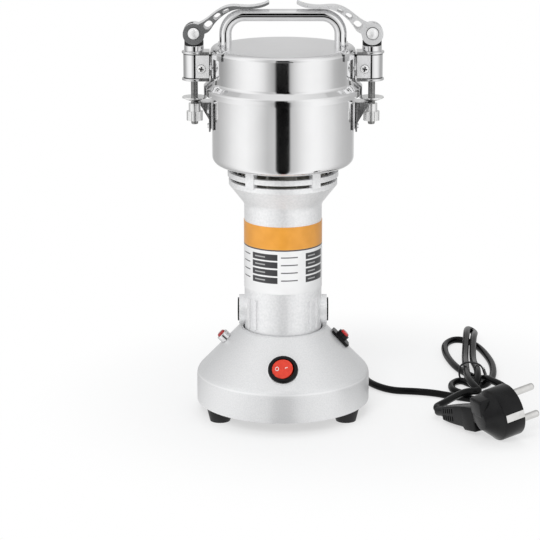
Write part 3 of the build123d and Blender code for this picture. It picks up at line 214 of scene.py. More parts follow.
def metal_finish(name, dark, light, smooth, dull, line_stretch=None, line_depth=0.0, grain=90.0, metal=1.0):
    """Bare or plated metal: cloudy colour, uneven polish and, where brushed or turned, fine lines."""
    finish = Finish(name)
    cloud = finish.noise(grain, 2.0)
    wipe = finish.noise(grain * 6, 4.0, line_stretch)
    finish.shades(base_color=finish.between(cloud, dark, light), metallic=metal)
    finish.shades(roughness=finish.polish(wipe, smooth, dull))
    if line_depth:
        finish.relief(wipe, line_depth)
    return finish.material


def moulded_finish(name, dark, light, smooth, dull, grain_depth, grain=900.0, gloss=0.5):
    """Moulded plastic or rubber: close grain in the surface and a slight wipe mark over it."""
    finish = Finish(name)
    grains = finish.noise(grain, 3.0)
    wipe = finish.noise(55.0, 4.0)
    finish.shades(base_color=finish.between(wipe, dark, light), roughness=finish.polish(wipe, smooth, dull))
    finish.shader.inputs["Specular IOR Level"].default_value = gloss
    finish.relief(grains, grain_depth)
    return finish.material


def silver_enamel():
    """Silver-white paint with a close metallic fleck, a painted highlight line along the base's shoulder and a
    painted highlight ring round the switch.
    """
    shoulder_height = 0.0282
    bezel_radius = 0.0103
    finish = Finish("silver_enamel")
    fleck = finish.cells(2600.0)
    cloud = finish.noise(1400.0, 2.0)
    wash = finish.noise(16.0, 2.0)
    base = finish.between(cloud, (0.76, 0.765, 0.77), (0.83, 0.83, 0.835))
    base = finish.blend(finish.ramp(fleck, 0.05, 0.22, 0.25, 0.0), base, (0.90, 0.90, 0.905))
    # Painted highlight: a pale line along the crease of the base's shoulder.
    crest = finish.off(finish.axis("Z"), shoulder_height)
    base = finish.blend(finish.ramp(crest, 0.0001, 0.0008, 0.6, 0.0), base, (0.98, 0.98, 0.985))
    # Painted highlight: a pale ring round the switch's bezel.
    rim = finish.off(finish.reach(switch_spot * mm), bezel_radius)
    base = finish.blend(finish.ramp(rim, 0.0003, 0.0006, 0.9, 0.0), base, (0.99, 0.99, 0.99))
    finish.shades(base_color=base, metallic=0.42, roughness=finish.polish(wash, 0.33, 0.40))
    finish.shades(coat_weight=0.2, coat_roughness=0.16)
    finish.relief(cloud, 0.012)
    return finish.material


def cast_enamel():
    """The same paint over a casting, with light orange-peel and grey specks; painted shade, near black, inside
    the fan chamber.
    """
    chamber_floor = 0.151
    bore_radius = 0.0335
    funnel_radius, funnel_widening = 0.0262, 0.9875  # at the floor, and for each unit of height
    finish = Finish("cast_enamel")
    peel = finish.noise(620.0, 2.0)
    speck = finish.cells(1100.0)
    base = finish.between(peel, (0.82, 0.825, 0.83), (0.90, 0.90, 0.905))
    base = finish.blend(finish.ramp(speck, 0.08, 0.26, 0.3, 0.0), base, (0.68, 0.685, 0.70))
    # Painted shade: near black inside the bore and funnel above the chamber floor.
    squares = [finish.maths("POWER", finish.axis(side), 2.0) for side in "XY"]
    radius = finish.maths("SQRT", finish.maths("ADD", *squares))
    height = finish.axis("Z")
    rise = finish.maths("SUBTRACT", height, chamber_floor)
    lean = finish.maths("SUBTRACT", radius, finish.maths("MULTIPLY", rise, funnel_widening))
    in_bore = finish.ramp(radius, bore_radius, bore_radius + 0.0002, 1.0, 0.0)
    in_funnel = finish.ramp(lean, funnel_radius, funnel_radius + 0.0004, 1.0, 0.0)
    over_floor = finish.ramp(height, chamber_floor - 0.0005, chamber_floor + 0.0005, 0.0, 1.0)
    inside = finish.maths("MULTIPLY", finish.maths("MULTIPLY", in_bore, in_funnel), over_floor)
    base = finish.blend(inside, base, (0.012, 0.012, 0.0125))
    finish.shades(base_color=base, metallic=0.42, roughness=finish.polish(peel, 0.34, 0.44))
    finish.shades(coat_weight=0.25, coat_roughness=0.2)
    finish.relief(peel, 0.05)
    return finish.material


def mirror_steel():
    """Polished sheet steel with the faint rings of the polishing wheel, satin on the lid's flat top."""
    lid_top = 0.2490
    finish = Finish("mirror_steel")
    rings = finish.noise(240.0, 3.0, (0.05, 0.05, 1.0))
    smear = finish.noise(38.0, 4.0)
    finish.shades(base_color=finish.between(smear, (0.90, 0.90, 0.905), (0.935, 0.935, 0.94)), metallic=1.0)
    satin = finish.ramp(finish.axis("Z"), lid_top, lid_top + 0.0006, 0.0, 0.24)
    finish.shades(roughness=finish.maths("ADD", satin, finish.polish(smear, 0.07, 0.115)))
    finish.relief(rings, 0.012)
    return finish.material


def threaded_steel():
    """Plated rod with a rolled thread on its lower part."""
    pitch = 0.0009
    thread_top = 0.232
    finish = Finish("threaded_steel")
    from_rod = finish.maths("SUBTRACT", finish.maths("ABSOLUTE", finish.axis("X")), rod_side * mm)
    turn = finish.maths("ARCTAN2", finish.axis("Y"), from_rod)
    rise = finish.maths("SUBTRACT", finish.maths("MULTIPLY", finish.axis("Z"), 2 * pi / pitch), turn)
    crest = finish.ramp(finish.maths("SINE", rise), -1.0, 1.0, 0.0, 1.0)
    threaded = finish.ramp(finish.axis("Z"), thread_top, thread_top + 0.001, 1.0, 0.0)
    wear = finish.noise(260.0, 3.0)
    finish.shades(base_color=finish.between(wear, (0.24, 0.24, 0.237), (0.34, 0.34, 0.335)), metallic=1.0)
    finish.shades(roughness=finish.polish(wear, 0.20, 0.26))
    finish.relief(finish.maths("MULTIPLY", crest, threaded), 0.10)
    return finish.material


def sleeve_steel():
    """Formed sheet, bright where rolled round, brushed on its flat cheeks, with painted shade, near black, in
    the corners at its ends.
    """
    cheek_side = 0.0570
    corner_reach = 0.0073  # from the sleeve's middle to its corners, up and down
    finish = Finish("sleeve_steel")
    cheek = finish.ramp(finish.maths("ABSOLUTE", finish.axis("X")), cheek_side, cheek_side + 0.0006, 1.0, 0.0)
    brush = finish.noise(500.0, 3.0, (1, 1, 0.12))
    # Painted shade: the sheet turns near black past the corners at the sleeve's ends, where the flanges meet
    # it.
    corner_shade = finish.off(finish.axis("Z"), sleeve_middle * mm)
    corner_shade = finish.ramp(corner_shade, corner_reach, corner_reach + 0.0004, 0.0, 0.94)
    sheet = finish.between(brush, (0.88, 0.88, 0.885), (0.94, 0.94, 0.945))
    finish.shades(base_color=finish.blend(corner_shade, sheet, (0.03, 0.03, 0.032)))
    finish.shades(metallic=finish.ramp(cheek, 0.0, 1.0, 1.0, 0.55))
    brushed = finish.maths("MULTIPLY", cheek, 0.36)
    finish.shades(roughness=finish.maths("ADD", brushed, finish.polish(brush, 0.02, 0.05)))
    finish.relief(brush, 0.001)
    return finish.material


def lever_metal():
    """Cast lever, dull grey on its flat sides, with a painted highlight on its top and edges."""
    finish = Finish("tumbled_lever_painted_highlight")
    # Painted highlight: faces that don't look along Y, the top and edges, take a pale colour; the flat sides
    # keep the dull cast grey.
    side = finish.ramp(finish.facing("Y"), 0.6, 0.9, 0.0, 1.0)
    cloud = finish.noise(90.0, 2.0)
    dull = finish.between(cloud, (0.42, 0.425, 0.43), (0.50, 0.505, 0.51))
    painted_highlight = finish.between(cloud, (0.80, 0.80, 0.805), (0.88, 0.88, 0.885))
    finish.shades(base_color=finish.blend(side, painted_highlight, dull), metallic=finish.ramp(side, 0.0, 1.0, 0.55, 1.0))
    finish.shades(roughness=finish.polish(cloud, 0.24, 0.30))
    return finish.material


def headed_steel(name, foot, smooth, dull):
    """Bright domed heads in front and behind, with painted shade, near black, on the shank below their feet
    where it passes through its seat.
    """
    finish = Finish(name)
    rise = finish.maths("ABSOLUTE", finish.axis("Y"))
    shine = finish.between(finish.noise(300.0), (0.86, 0.86, 0.86), (0.94, 0.94, 0.94))
    # Painted shade: near black below the heads' feet, where pin and screw sink into their seats.
    shade = finish.ramp(rise, foot, foot + 0.0002, 0.95, 0.0)
    finish.shades(base_color=finish.blend(shade, shine, (0.02, 0.02, 0.022)), metallic=0.6)
    finish.shades(roughness=finish.polish(finish.noise(120.0), smooth, dull))
    return finish.material


def printed_label():
    """Film on the neck: an orange band over a white field with four dark boxes in each column."""
    finish = Finish("printed_label")
    height = finish.maths("MULTIPLY", finish.axis("Z"), 1000.0)  # in millimetres
    forward = finish.maths("MULTIPLY", finish.axis("Y"), -1.0)
    across = finish.maths("ARCTAN2", finish.axis("X"), forward)
    across = finish.maths("MULTIPLY", across, 180 / pi)  # in degrees

    def inside(source, low, high, soft):
        """1 between low and high, 0 outside, with soft edges."""
        rising = finish.ramp(source, low - soft, low + soft, 0.0, 1.0)
        falling = finish.ramp(source, high - soft, high + soft, 1.0, 0.0)
        return finish.maths("MULTIPLY", rising, falling)

    def together(*parts):
        whole = parts[0]
        for part in parts[1:]:
            whole = finish.maths("MAXIMUM", whole, part)
        return whole

    def columns(*limits):
        return together(*(inside(across, low, high, 0.3) for low, high in limits))

    row_feet = (111.3, 106.1, 100.8, 95.5)
    rows = together(*(inside(height, foot, foot + 4.2, 0.12) for foot in row_feet))
    dashes = together(*(inside(height, foot + 1.7, foot + 2.5, 0.10) for foot in row_feet))
    boxes = finish.maths("MULTIPLY", rows, columns((-50, -8), (35, 74)))
    marks = finish.maths("MULTIPLY", dashes, columns((-45, -27), (39, 54)))
    captions = finish.maths("MULTIPLY", dashes, columns((-3, 22), (-74, -56)))
    film = finish.between(finish.noise(70.0, 2.0), (0.80, 0.80, 0.80), (0.85, 0.85, 0.85))
    ink = finish.blend(boxes, film, (0.035, 0.035, 0.038))
    ink = finish.blend(marks, ink, (0.42, 0.42, 0.42))
    ink = finish.blend(captions, ink, (0.12, 0.12, 0.125))
    band_foot, line_foot, band_top = 118.6, 117.7, 140.0
    band = finish.between(finish.noise(120.0, 2.0), (0.74, 0.31, 0.028), (0.80, 0.345, 0.038))
    ink = finish.blend(inside(height, band_foot, band_top, 0.08), ink, band)
    ink = finish.blend(inside(height, line_foot, band_foot, 0.08), ink, (0.05, 0.045, 0.045))
    finish.shades(base_color=ink, roughness=finish.polish(finish.noise(300.0), 0.28, 0.36))
    finish.shades(coat_weight=0.2, coat_roughness=0.12)
    finish.relief(finish.noise(160.0, 2.0), 0.02)
    return finish.material


def lens_plastic(name, dark, light, gloss_rough, skin=0.6):
    """Coloured plastic with some light passing into it and a polished skin."""
    finish = Finish(name)
    depth = finish.noise(420.0, 2.0)
    finish.shades(base_color=finish.between(depth, dark, light))
    finish.shades(roughness=finish.polish(depth, gloss_rough, gloss_rough + 0.08))
    finish.shades(coat_weight=skin, coat_roughness=0.08)
    finish.relief(depth, 0.01)
    return finish.material


finishes = {
    "white_enamel": silver_enamel(),
    "polished_steel": mirror_steel(),
    "clamp_steel": metal_finish(
        "pressed_clamp_steel", (0.78, 0.78, 0.785), (0.88, 0.88, 0.885), 0.13, 0.24, (1, 1, 0.15), 0.003
    ),
    "cast_lever": metal_finish("cast_metal", (0.42, 0.425, 0.43), (0.50, 0.505, 0.51), 0.24, 0.30, None, 0.001),
    "zinc_fastener": metal_finish(
        "zinc_plate", (0.84, 0.84, 0.835), (0.90, 0.90, 0.895), 0.14, 0.20, None, 0.001, 60.0, 0.85
    ),
    "blade_steel": metal_finish(
        "ground_blade_steel", (0.60, 0.60, 0.61), (0.74, 0.74, 0.75), 0.2, 0.36, (1, 0.08, 1), 0.02
    ),
    "lamination_steel": metal_finish(
        "stacked_laminations", (0.24, 0.24, 0.25), (0.40, 0.40, 0.41), 0.35, 0.55, (0.02, 0.02, 6), 0.15
    ),
    "copper_winding": metal_finish(
        "varnished_copper", (0.48, 0.17, 0.07), (0.70, 0.30, 0.13), 0.25, 0.42, (1, 1, 8), 0.12
    ),
    "commutator_copper": metal_finish(
        "turned_copper", (0.62, 0.30, 0.17), (0.76, 0.42, 0.26), 0.2, 0.36, (0.05, 0.05, 3), 0.02
    ),
    "brass_part": metal_finish("drawn_brass", (0.62, 0.46, 0.20), (0.78, 0.60, 0.30), 0.2, 0.34, None, 0.01),
    "nickel": metal_finish(
        "nickel_contact", (0.70, 0.695, 0.68), (0.80, 0.795, 0.785), 0.05, 0.10, (1, 1, 0.2), 0.002, 200.0
    ),
    "carbon": moulded_finish("pressed_carbon", (0.015, 0.015, 0.016), (0.04, 0.04, 0.042), 0.5, 0.7, 0.05),
    "black_plastic": moulded_finish(
        "black_moulding", (0.004, 0.004, 0.0045), (0.008, 0.008, 0.0085), 0.24, 0.34, 0.01, 900.0, 0.22
    ),
    "fan_plastic": moulded_finish("fan_moulding", (0.70, 0.68, 0.62), (0.80, 0.78, 0.72), 0.35, 0.5, 0.03),
    "black_rubber": moulded_finish(
        "black_rubber", (0.008, 0.008, 0.0085), (0.018, 0.018, 0.019), 0.45, 0.6, 0.03, 1300.0, 0.3
    ),
    "grey_silicone": moulded_finish(
        "grey_silicone", (0.40, 0.41, 0.42), (0.50, 0.51, 0.52), 0.42, 0.56, 0.02, 900.0, 0.4
    ),
    "cord_black": moulded_finish(
        "cord_jacket", (0.002, 0.002, 0.0022), (0.005, 0.005, 0.0054), 0.18, 0.26, 0.012, 700.0, 0.15
    ),
    "label_film": printed_label(),
    "rocker_red": lens_plastic("rocker_red", (0.66, 0.035, 0.014), (0.74, 0.05, 0.02), 0.3, 0.1),
    "button_red": lens_plastic("button_red", (0.50, 0.012, 0.012), (0.62, 0.022, 0.018), 0.2),
    "lamp_red": lens_plastic("lamp_red", (0.28, 0.008, 0.010), (0.42, 0.016, 0.016), 0.1),
}
# Nodes that look different from the rest of their slot.
own_finish = {
    "clamp_sleeves": sleeve_steel(),
    "clamp_collars": metal_finish("collar_steel", (0.88, 0.88, 0.885), (0.94, 0.94, 0.945), 0.03, 0.06),
    "right_cam_lever": metal_finish(
        "bright_lever_metal", (0.74, 0.74, 0.745), (0.81, 0.81, 0.815), 0.26, 0.34, None, 0.001, 60.0, 0.5
    ),
    "motor_housing": cast_enamel(),
    # Painted shade: the bearing plate seen through the vent slots is near black, standing in for the shade
    # inside the housing.
    "upper_bearing_plate": metal_finish("casting_painted_shade", (0.03, 0.03, 0.031), (0.05, 0.05, 0.052), 0.5, 0.65),
    "left_rod": threaded_steel(),
    "right_rod": threaded_steel(),
    "lamp_bezel": metal_finish("lamp_chrome", (0.86, 0.86, 0.87), (0.94, 0.94, 0.945), 0.05, 0.10),
    "handle": metal_finish("handle_chrome", (0.90, 0.90, 0.905), (0.95, 0.95, 0.955), 0.015, 0.035),
    "left_cam_lever": lever_metal(),
}
for name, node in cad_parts.items():
    for place in node.material_slots:
        place.material = own_finish.get(name) or finishes[place.material.name.split(".")[0]]


def dress(piece, finish, body="body", replaced=()):
    """Gives a finished piece its material and the body that carries it."""
    piece.data.materials.clear()
    piece.data.materials.append(finish)
    if replaced:
        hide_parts(*replaced)
    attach(piece, body)
    return piece


tie_black = moulded_finish("tie_black", (0.012, 0.012, 0.013), (0.02, 0.02, 0.021), 0.3, 0.45, 0.01)
tie_white = moulded_finish("tie_core_white", (0.62, 0.62, 0.60), (0.74, 0.74, 0.72), 0.4, 0.5, 0.02)
dress(supply_cord, finishes["cord_black"], "body", ("cord_lead", "cord_hank"))
dress(wire_tie, tie_black)
dress(tie_tip, tie_white)


# ------------------------------------------------------------------ turned and cut pieces
def clear_selection():
    """Back to object mode with nothing selected."""
    if bpy.context.object and bpy.context.object.mode != "OBJECT":
        bpy.ops.object.mode_set(mode="OBJECT")
    bpy.ops.object.select_all(action="DESELECT")


def settle(piece, frame_matrix, angle=35):
    """Puts the piece's place into its mesh, turns its faces outwards and smooths its round sides."""
    if piece.mode != "OBJECT":
        bpy.ops.object.mode_set(mode="OBJECT")
    clear_selection()
    piece.select_set(True)
    bpy.context.view_layer.objects.active = piece
    piece.data.transform(frame_matrix @ piece.matrix_world)
    piece.matrix_world = Matrix.Identity(4)
    bpy.ops.object.mode_set(mode="EDIT")
    bpy.ops.mesh.select_all(action="SELECT")
    bpy.ops.mesh.remove_doubles(threshold=1e-6)
    bpy.ops.mesh.normals_make_consistent(inside=False)
    bpy.ops.object.mode_set(mode="OBJECT")
    bpy.ops.object.shade_smooth_by_angle(angle=radians(angle))
    return piece


def turned_piece(name, stations, steps=48):
    """A round piece about Z: a disc, drawn up and sized station by station (radius, height in mm)."""
    clear_selection()
    first_radius, first_height = stations[0]
    bpy.ops.mesh.primitive_circle_add(
        vertices=steps, radius=first_radius * mm, fill_type="NGON", location=(0, 0, first_height * mm)
    )
    piece = bpy.context.object
    piece.name = name
    bpy.ops.object.mode_set(mode="EDIT")
    bpy.ops.mesh.select_all(action="SELECT")
    radius, height = first_radius, first_height
    for next_radius, next_height in stations[1:]:
        rise = (next_height - height) * mm
        bpy.ops.mesh.extrude_region_move(TRANSFORM_OT_translate={"value": (0, 0, rise)})
        share = next_radius / radius
        bpy.ops.transform.resize(value=(share, share, 1), center_override=(0, 0, next_height * mm))
        radius, height = next_radius, next_height
    bpy.ops.object.mode_set(mode="OBJECT")
    return piece


def frame_from(origin, across, out):
    """Matrix of a local frame, Z along out and X near across; the origin is in millimetres."""
    z = Vector(out).normalized()
    y = z.cross(Vector(across)).normalized()
    x = y.cross(z)
    turn = Matrix((x, y, z)).transposed().to_4x4()
    return Matrix.Translation(Vector(origin) * mm) @ turn


# Strain relief: flange, then a taper of soft ribs with a neck between each two.
rib_pitch, rib_taper = 2.75, 0.21
relief_stations = [(5.6, -0.2), (6.4, 0.1), (6.6, 0.5), (6.6, 1.9), (6.2, 2.5), (4.9, 2.7)]
for rib in range(7):
    start = 3.6 + rib * rib_pitch
    width = 4.85 - rib_taper * rib
    relief_stations += [
        (width - 0.75, start), (width - 0.75, start + 0.75), (width - 0.12, start + 0.95),
        (width, start + 1.2), (width - 0.02, start + 1.9), (width - 0.16, start + 2.15),
    ]
relief_stations += [(3.2, 22.9), (3.15, 23.1), (2.6, 23.2)]
strain_relief = turned_piece("strain_relief", relief_stations)
settle(strain_relief, frame_from(relief_foot, (1, 0, 0), (0, 1, 0)))
dress(strain_relief, finishes["black_rubber"], "body", ("cord_gland",))


# ------------------------------------------------------------------ plug
def joined(name, pieces):
    """One object from several finished ones."""
    clear_selection()
    for piece in pieces:
        piece.select_set(True)
    bpy.context.view_layer.objects.active = pieces[0]
    bpy.ops.object.join()
    whole = bpy.context.object
    whole.name = name
    return whole


def cut_away(piece, cutter):
    """Takes the cutter's solid out of the piece."""
    clear_selection()
    bpy.context.view_layer.objects.active = piece
    cut = piece.modifiers.new("cut", "BOOLEAN")
    cut.operation = "DIFFERENCE"
    cut.object = cutter
    cut.solver = "EXACT"
    bpy.ops.object.modifier_apply(modifier="cut")
    bpy.data.objects.remove(cutter)


def rounded_block(name, spot, size, edge, steps=2):
    """A block with rounded edges; the spot, size and edge are in millimetres."""
    clear_selection()
    bpy.ops.mesh.primitive_cube_add(size=1, location=Vector(spot) * mm)
    piece = bpy.context.object
    piece.name = name
    bpy.ops.object.mode_set(mode="EDIT")
    bpy.ops.mesh.select_all(action="SELECT")
    bpy.ops.transform.resize(value=Vector(size) * mm, center_override=Vector(spot) * mm)
    if edge:
        bpy.ops.mesh.bevel(offset=edge * mm, segments=steps, affect="EDGES")
    bpy.ops.object.mode_set(mode="OBJECT")
    return piece


# The plug's frame: in the middle of its face, Z out along the pins.
plug_out = Vector((0.8830, 0.4307, 0.1857))
plug_across = Vector((sin(radians(26)), -cos(radians(26)), 0))
plug_frame = frame_from(plug_face, plug_across, plug_out)
twist = Matrix.Rotation(radians(-6), 4, "Z")
pin_offset, clip_offset, earth_offset = 9.5, 16.8, 10.2  # from the face's middle

# Head: back hub, step, shoulder, round rim and a shallow lip round the face.
plug_head = turned_piece(
    "plug_head",
    [
        (6.0, -25.0), (7.2, -24.6), (7.9, -23.6), (15.9, -15.9), (16.3, -15.6), (17.0, -15.1), (17.4, -14.4),
        (17.4, -0.9), (17.15, -0.3), (16.5, 0.0), (15.4, 0.0), (15.2, -0.5), (1.5, -0.5),
    ],
    64,
)
for side in (-1, 1):
    cutter = rounded_block("clip_slot", (0, 0, 0), (2.4, 5.6, 30), 0)
    cutter.matrix_world = twist @ Matrix.Translation(Vector((side * clip_offset, 0, 1.0)) * mm)
    cut_away(plug_head, cutter)
for up, name in ((-1, "pin_seat_low"), (1, "pin_seat_high")):
    ring = turned_piece(name, [(2.5, -0.6), (3.7, -0.6), (3.7, -0.2), (3.5, 0.0), (2.6, 0.0)], 32)
    ring.matrix_world = twist @ Matrix.Translation(Vector((0, up * pin_offset, 0)) * mm)
    settle(ring, plug_frame)
    dress(ring, finishes["black_plastic"])
earth_hole = turned_piece(
    "earth_hole", [(2.1, -0.6), (3.1, -0.6), (3.1, -0.1), (2.9, 0.05), (2.3, 0.05), (2.1, -0.2)], 32
)
earth_hole.matrix_world = twist @ Matrix.Translation(Vector((-earth_offset, 0, 0)) * mm)
settle(earth_hole, plug_frame)
dress(earth_hole, finishes["nickel"])

# Grip: blocks drawn out from the tail towards the head, each end sized one by one.
grip_out = Vector((0.581, -0.784, 0.218)).normalized()
grip_near = Vector((-0.803, -0.595, 0.0)).normalized()
grip_frame = frame_from(cord_entry, -grip_near, grip_out)
grip_steps = [
    # along, half width, lower edge, upper edge
    (5.6, 3.7, -3.9, 3.2), (6.4, 4.5, -5.2, 3.9), (13.0, 5.3, -6.4, 4.6), (20.0, 5.9, -7.4, 5.2),
    (28.6, 6.5, -8.4, 5.6), (30.2, 6.6, -10.4, 5.6), (41.0, 6.8, -11.3, 5.0),
]
clear_selection()
along, half, low, high = grip_steps[0]
bpy.ops.mesh.primitive_plane_add(size=1, location=(0, (low + high) / 2 * mm, along * mm))
grip = bpy.context.object
grip.name = "plug_grip"
bpy.ops.object.mode_set(mode="EDIT")
bpy.ops.mesh.select_all(action="SELECT")
bpy.ops.transform.resize(
    value=(2 * half * mm, (high - low) * mm, 1), center_override=(0, (low + high) / 2 * mm, along * mm)
)
for next_along, next_half, next_low, next_high in grip_steps[1:]:
    move = Vector((0, (next_low + next_high - low - high) / 2, next_along - along)) * mm
    bpy.ops.mesh.extrude_region_move(TRANSFORM_OT_translate={"value": move})
    bpy.ops.transform.resize(
        value=(next_half / half, (next_high - next_low) / (high - low), 1),
        center_override=(0, (next_low + next_high) / 2 * mm, next_along * mm),
    )
    along, half, low, high = next_along, next_half, next_low, next_high
bpy.ops.mesh.select_all(action="SELECT")
bpy.ops.mesh.normals_make_consistent(inside=False)
bpy.ops.object.mode_set(mode="OBJECT")
edges = grip.modifiers.new("edges", "BEVEL")
edges.width = 0.9 * mm
edges.segments = 3
edges.limit_method = "ANGLE"
edges.angle_limit = radians(40)
clear_selection()
bpy.context.view_layer.objects.active = grip
bpy.ops.object.modifier_apply(modifier="edges")
# Two rows of short notches in each flank near the tail; the rows part as the grip widens.
for flank in (-1, 1):
    for row, parting in ((-3.1, -0.1), (1.3, 0.1)):
        for notch in range(5):
            along = 8.2 + 2.5 * notch
            half = 4.75 + 0.083 * (along - 8)
            spot = (flank * half, row + parting * notch, along)
            cut_away(grip, rounded_block("notch", spot, (1.6, 3.2, 1.1), 0))
hub = rounded_block("plug_hub", (-2.0, -8.0, -20.0), (14.0, 12.0, 11.0), 1.6, 3)
settle(hub, plug_frame, 30)
web = rounded_block("plug_web", (-3.0, 0.0, -19.5), (15.0, 11.5, 9.0), 1.2, 3)
settle(web, plug_frame, 30)
tail_stations = [(2.6, -3.4), (3.1, -3.2), (3.3, -2.4), (3.4, 1.0), (3.9, 4.0), (4.3, 8.0)]
tail = turned_piece("cord_tail", tail_stations, 32)
settle(tail, grip_frame)
settle(grip, grip_frame, 30)
settle(plug_head, plug_frame, 30)
plug_moulding = joined("plug_moulding", [plug_head, grip, tail, hub, web])
bpy.ops.object.shade_smooth_by_angle(angle=radians(30))


def plug_finish():
    """Moulded plug: fine spark grain, slightly shinier in cloudy patches."""
    finish = Finish("plug_moulding")
    grain = finish.noise(1500.0, 2.0)
    rub = finish.noise(90.0, 4.0)
    finish.shades(base_color=finish.between(rub, (0.004, 0.004, 0.0045), (0.009, 0.009, 0.0095)))
    finish.shades(roughness=finish.polish(rub, 0.24, 0.34))
    finish.shader.inputs["Specular IOR Level"].default_value = 0.22
    finish.relief(grain, 0.02)
    return finish.material


dress(plug_moulding, plug_finish(), "body", ("plug_body",))


# ------------------------------------------------------------------ domed lever pins and sleeve screws
def mirrored_stations(stations):
    """The same stations at the other end of a turned piece."""
    return [(radius, -height) for radius, height in reversed(stations)]


dome_steel = headed_steel("pin_steel", 0.0069, 0.34, 0.42)
dome = [(0.6, -8.55), (1.9, -8.3), (3.0, -7.75), (3.8, -7.0), (4.15, -6.3), (4.2, -6.1), (2.0, -6.05)]
for side, name in ((-1, "left"), (1, "right")):
    pin = turned_piece(f"{name}_domed_pin", dome + mirrored_stations(dome), 40)
    settle(pin, frame_from((side * rod_side, 0, lever_pin_height), (1, 0, 0), (0, 1, 0)), 40)
    dress(pin, dome_steel, f"{name}_lever_body", (f"{name}_lever_pin",))

# Screws through the sleeves: a shank between two domed heads, each with a cross recess.
screw_head = [(2.85, 7.2), (2.85, 7.6), (2.55, 8.15), (1.95, 8.5), (0.9, 8.62)]
screw_shank = [(1.6, -7.2), (1.6, 7.2)]
recess_height = 8.55
screw_steel = headed_steel("screw_steel", 0.0078, 0.2, 0.28)
sleeve_screws = []
for side in (-1, 1):
    screw = turned_piece("sleeve_screw", mirrored_stations(screw_head) + screw_shank + screw_head, 32)
    for end in (-1, 1):
        head_spot = Matrix.Translation((0, 0, end * recess_height * mm))
        for turn in (12, 102):
            cutter = rounded_block("recess", (0, 0, 0), (3.3, 0.95, 1.6), 0)
            cutter.matrix_world = head_spot @ Matrix.Rotation(radians(turn), 4, "Z")
            cut_away(screw, cutter)
    settle(screw, frame_from((side * screw_side, 0, screw_height), (1, 0, 0), (0, 1, 0)), 40)
    sleeve_screws.append(screw)
sleeve_screw_pair = joined("sleeve_screw_pair", sleeve_screws)
dress(sleeve_screw_pair, screw_steel, "body", ("sleeve_screws",))

# ------------------------------------------------------------------ marks on the rocker
slope_out = Vector((0, -0.7224, 0.6915))
slope_up = Vector((0, 0.6915, 0.7224))
tilt = radians(7)
pivot_depth = 1.4  # under the cone's surface
rocker_across = Vector((cos(tilt), 0, 0)) + slope_out * sin(tilt)
rocker_out = Vector((-sin(tilt), 0, 0)) + slope_out * cos(tilt)
rocker_middle = switch_spot - slope_out * pivot_depth + rocker_out * pivot_depth
valley_height = 1.6
face_slope = 0.0894  # rise of each face away from the valley


def rocker_frame(across, up, side):
    """Frame on one of the rocker's two faces, side -1 for the left and 1 for the right."""
    height = valley_height + face_slope * abs(across)
    spot = rocker_middle + rocker_across * across + slope_up * up + rocker_out * height
    face_across = rocker_across + rocker_out * face_slope * side
    face_out = rocker_out - rocker_across * face_slope * side
    return frame_from(spot, face_across, face_out)


mark_white = moulded_finish("mark_white", (0.74, 0.72, 0.70), (0.84, 0.82, 0.80), 0.3, 0.4, 0.01)
clear_selection()
bpy.ops.mesh.primitive_torus_add(
    major_radius=1.15 * mm, minor_radius=0.25 * mm, major_segments=40, minor_segments=8
)
off_mark = bpy.context.object
off_mark.name = "off_mark"
bpy.ops.transform.resize(value=(0.9, 1.15, 0.5))
settle(off_mark, rocker_frame(-3.6, 0.2, -1))
dress(off_mark, mark_white, "rocker")
clear_selection()
bpy.ops.mesh.primitive_cube_add(size=1)
on_mark = bpy.context.object
on_mark.name = "on_mark"
bpy.ops.transform.resize(value=(2.0 * mm, 0.55 * mm, 0.16 * mm))
bpy.ops.object.mode_set(mode="EDIT")
bpy.ops.mesh.select_all(action="SELECT")
bpy.ops.mesh.bevel(offset=0.06 * mm, segments=2, affect="EDGES")
settle(on_mark, rocker_frame(2.6, 0.7, 1) @ Matrix.Rotation(radians(13), 4, "Z"))
dress(on_mark, mark_white, "rocker")


# ------------------------------------------------------------------ floor, tent and light
def add_node(tree, kind, inputs=None, **settings):
    """A new node with its settings and the values of its inputs."""
    node = tree.nodes.new("ShaderNode" + kind)
    for name, value in settings.items():
        setattr(node, name, value)
    for name, value in (inputs or {}).items():
        node.inputs[name].default_value = value
    return node


def stage_material(name):
    """An empty material for the floor or the tent, and its node tree and output."""
    material = bpy.data.materials.new(name)
    material.use_nodes = True
    tree = material.node_tree
    tree.nodes.clear()
    return material, tree, add_node(tree, "OutputMaterial")


def join(tree, *pairs):
    for start, end in pairs:
        tree.links.new(start, end)


def angle_round(tree, axes):
    """The angle round the mill, 0 at the back on the left, 0.5 in front, 1 at the back on the right."""
    forward = add_node(tree, "Math", {1: -1}, operation="MULTIPLY")
    turn = add_node(tree, "Math", operation="ARCTAN2")
    share = add_node(tree, "MapRange", {"From Min": -pi, "From Max": pi})
    join(
        tree,
        (axes.outputs["Y"], forward.inputs[0]),
        (axes.outputs["X"], turn.inputs[0]),
        (forward.outputs[0], turn.inputs[1]),
        (turn.outputs[0], share.inputs["Value"]),
    )
    return share.outputs["Result"]


def strips(tree, angle, bands):
    """A ramp of greys round the tent, from bands of (degrees from the front, grey)."""
    ramp = add_node(tree, "ValToRGB")
    marks = ramp.color_ramp.elements
    marks[0].position, marks[1].position = 0.0, 1.0
    for (degrees, grey), mark in ((bands[0], marks[0]), (bands[-1], marks[1])):
        mark.color = (grey, grey, grey, 1)
    for degrees, grey in bands[1:-1]:
        mark = marks.new(0.5 + degrees / 360)
        mark.color = (grey, grey, grey, 1)
    tree.links.new(angle, ramp.inputs["Fac"])
    return ramp.outputs["Color"]


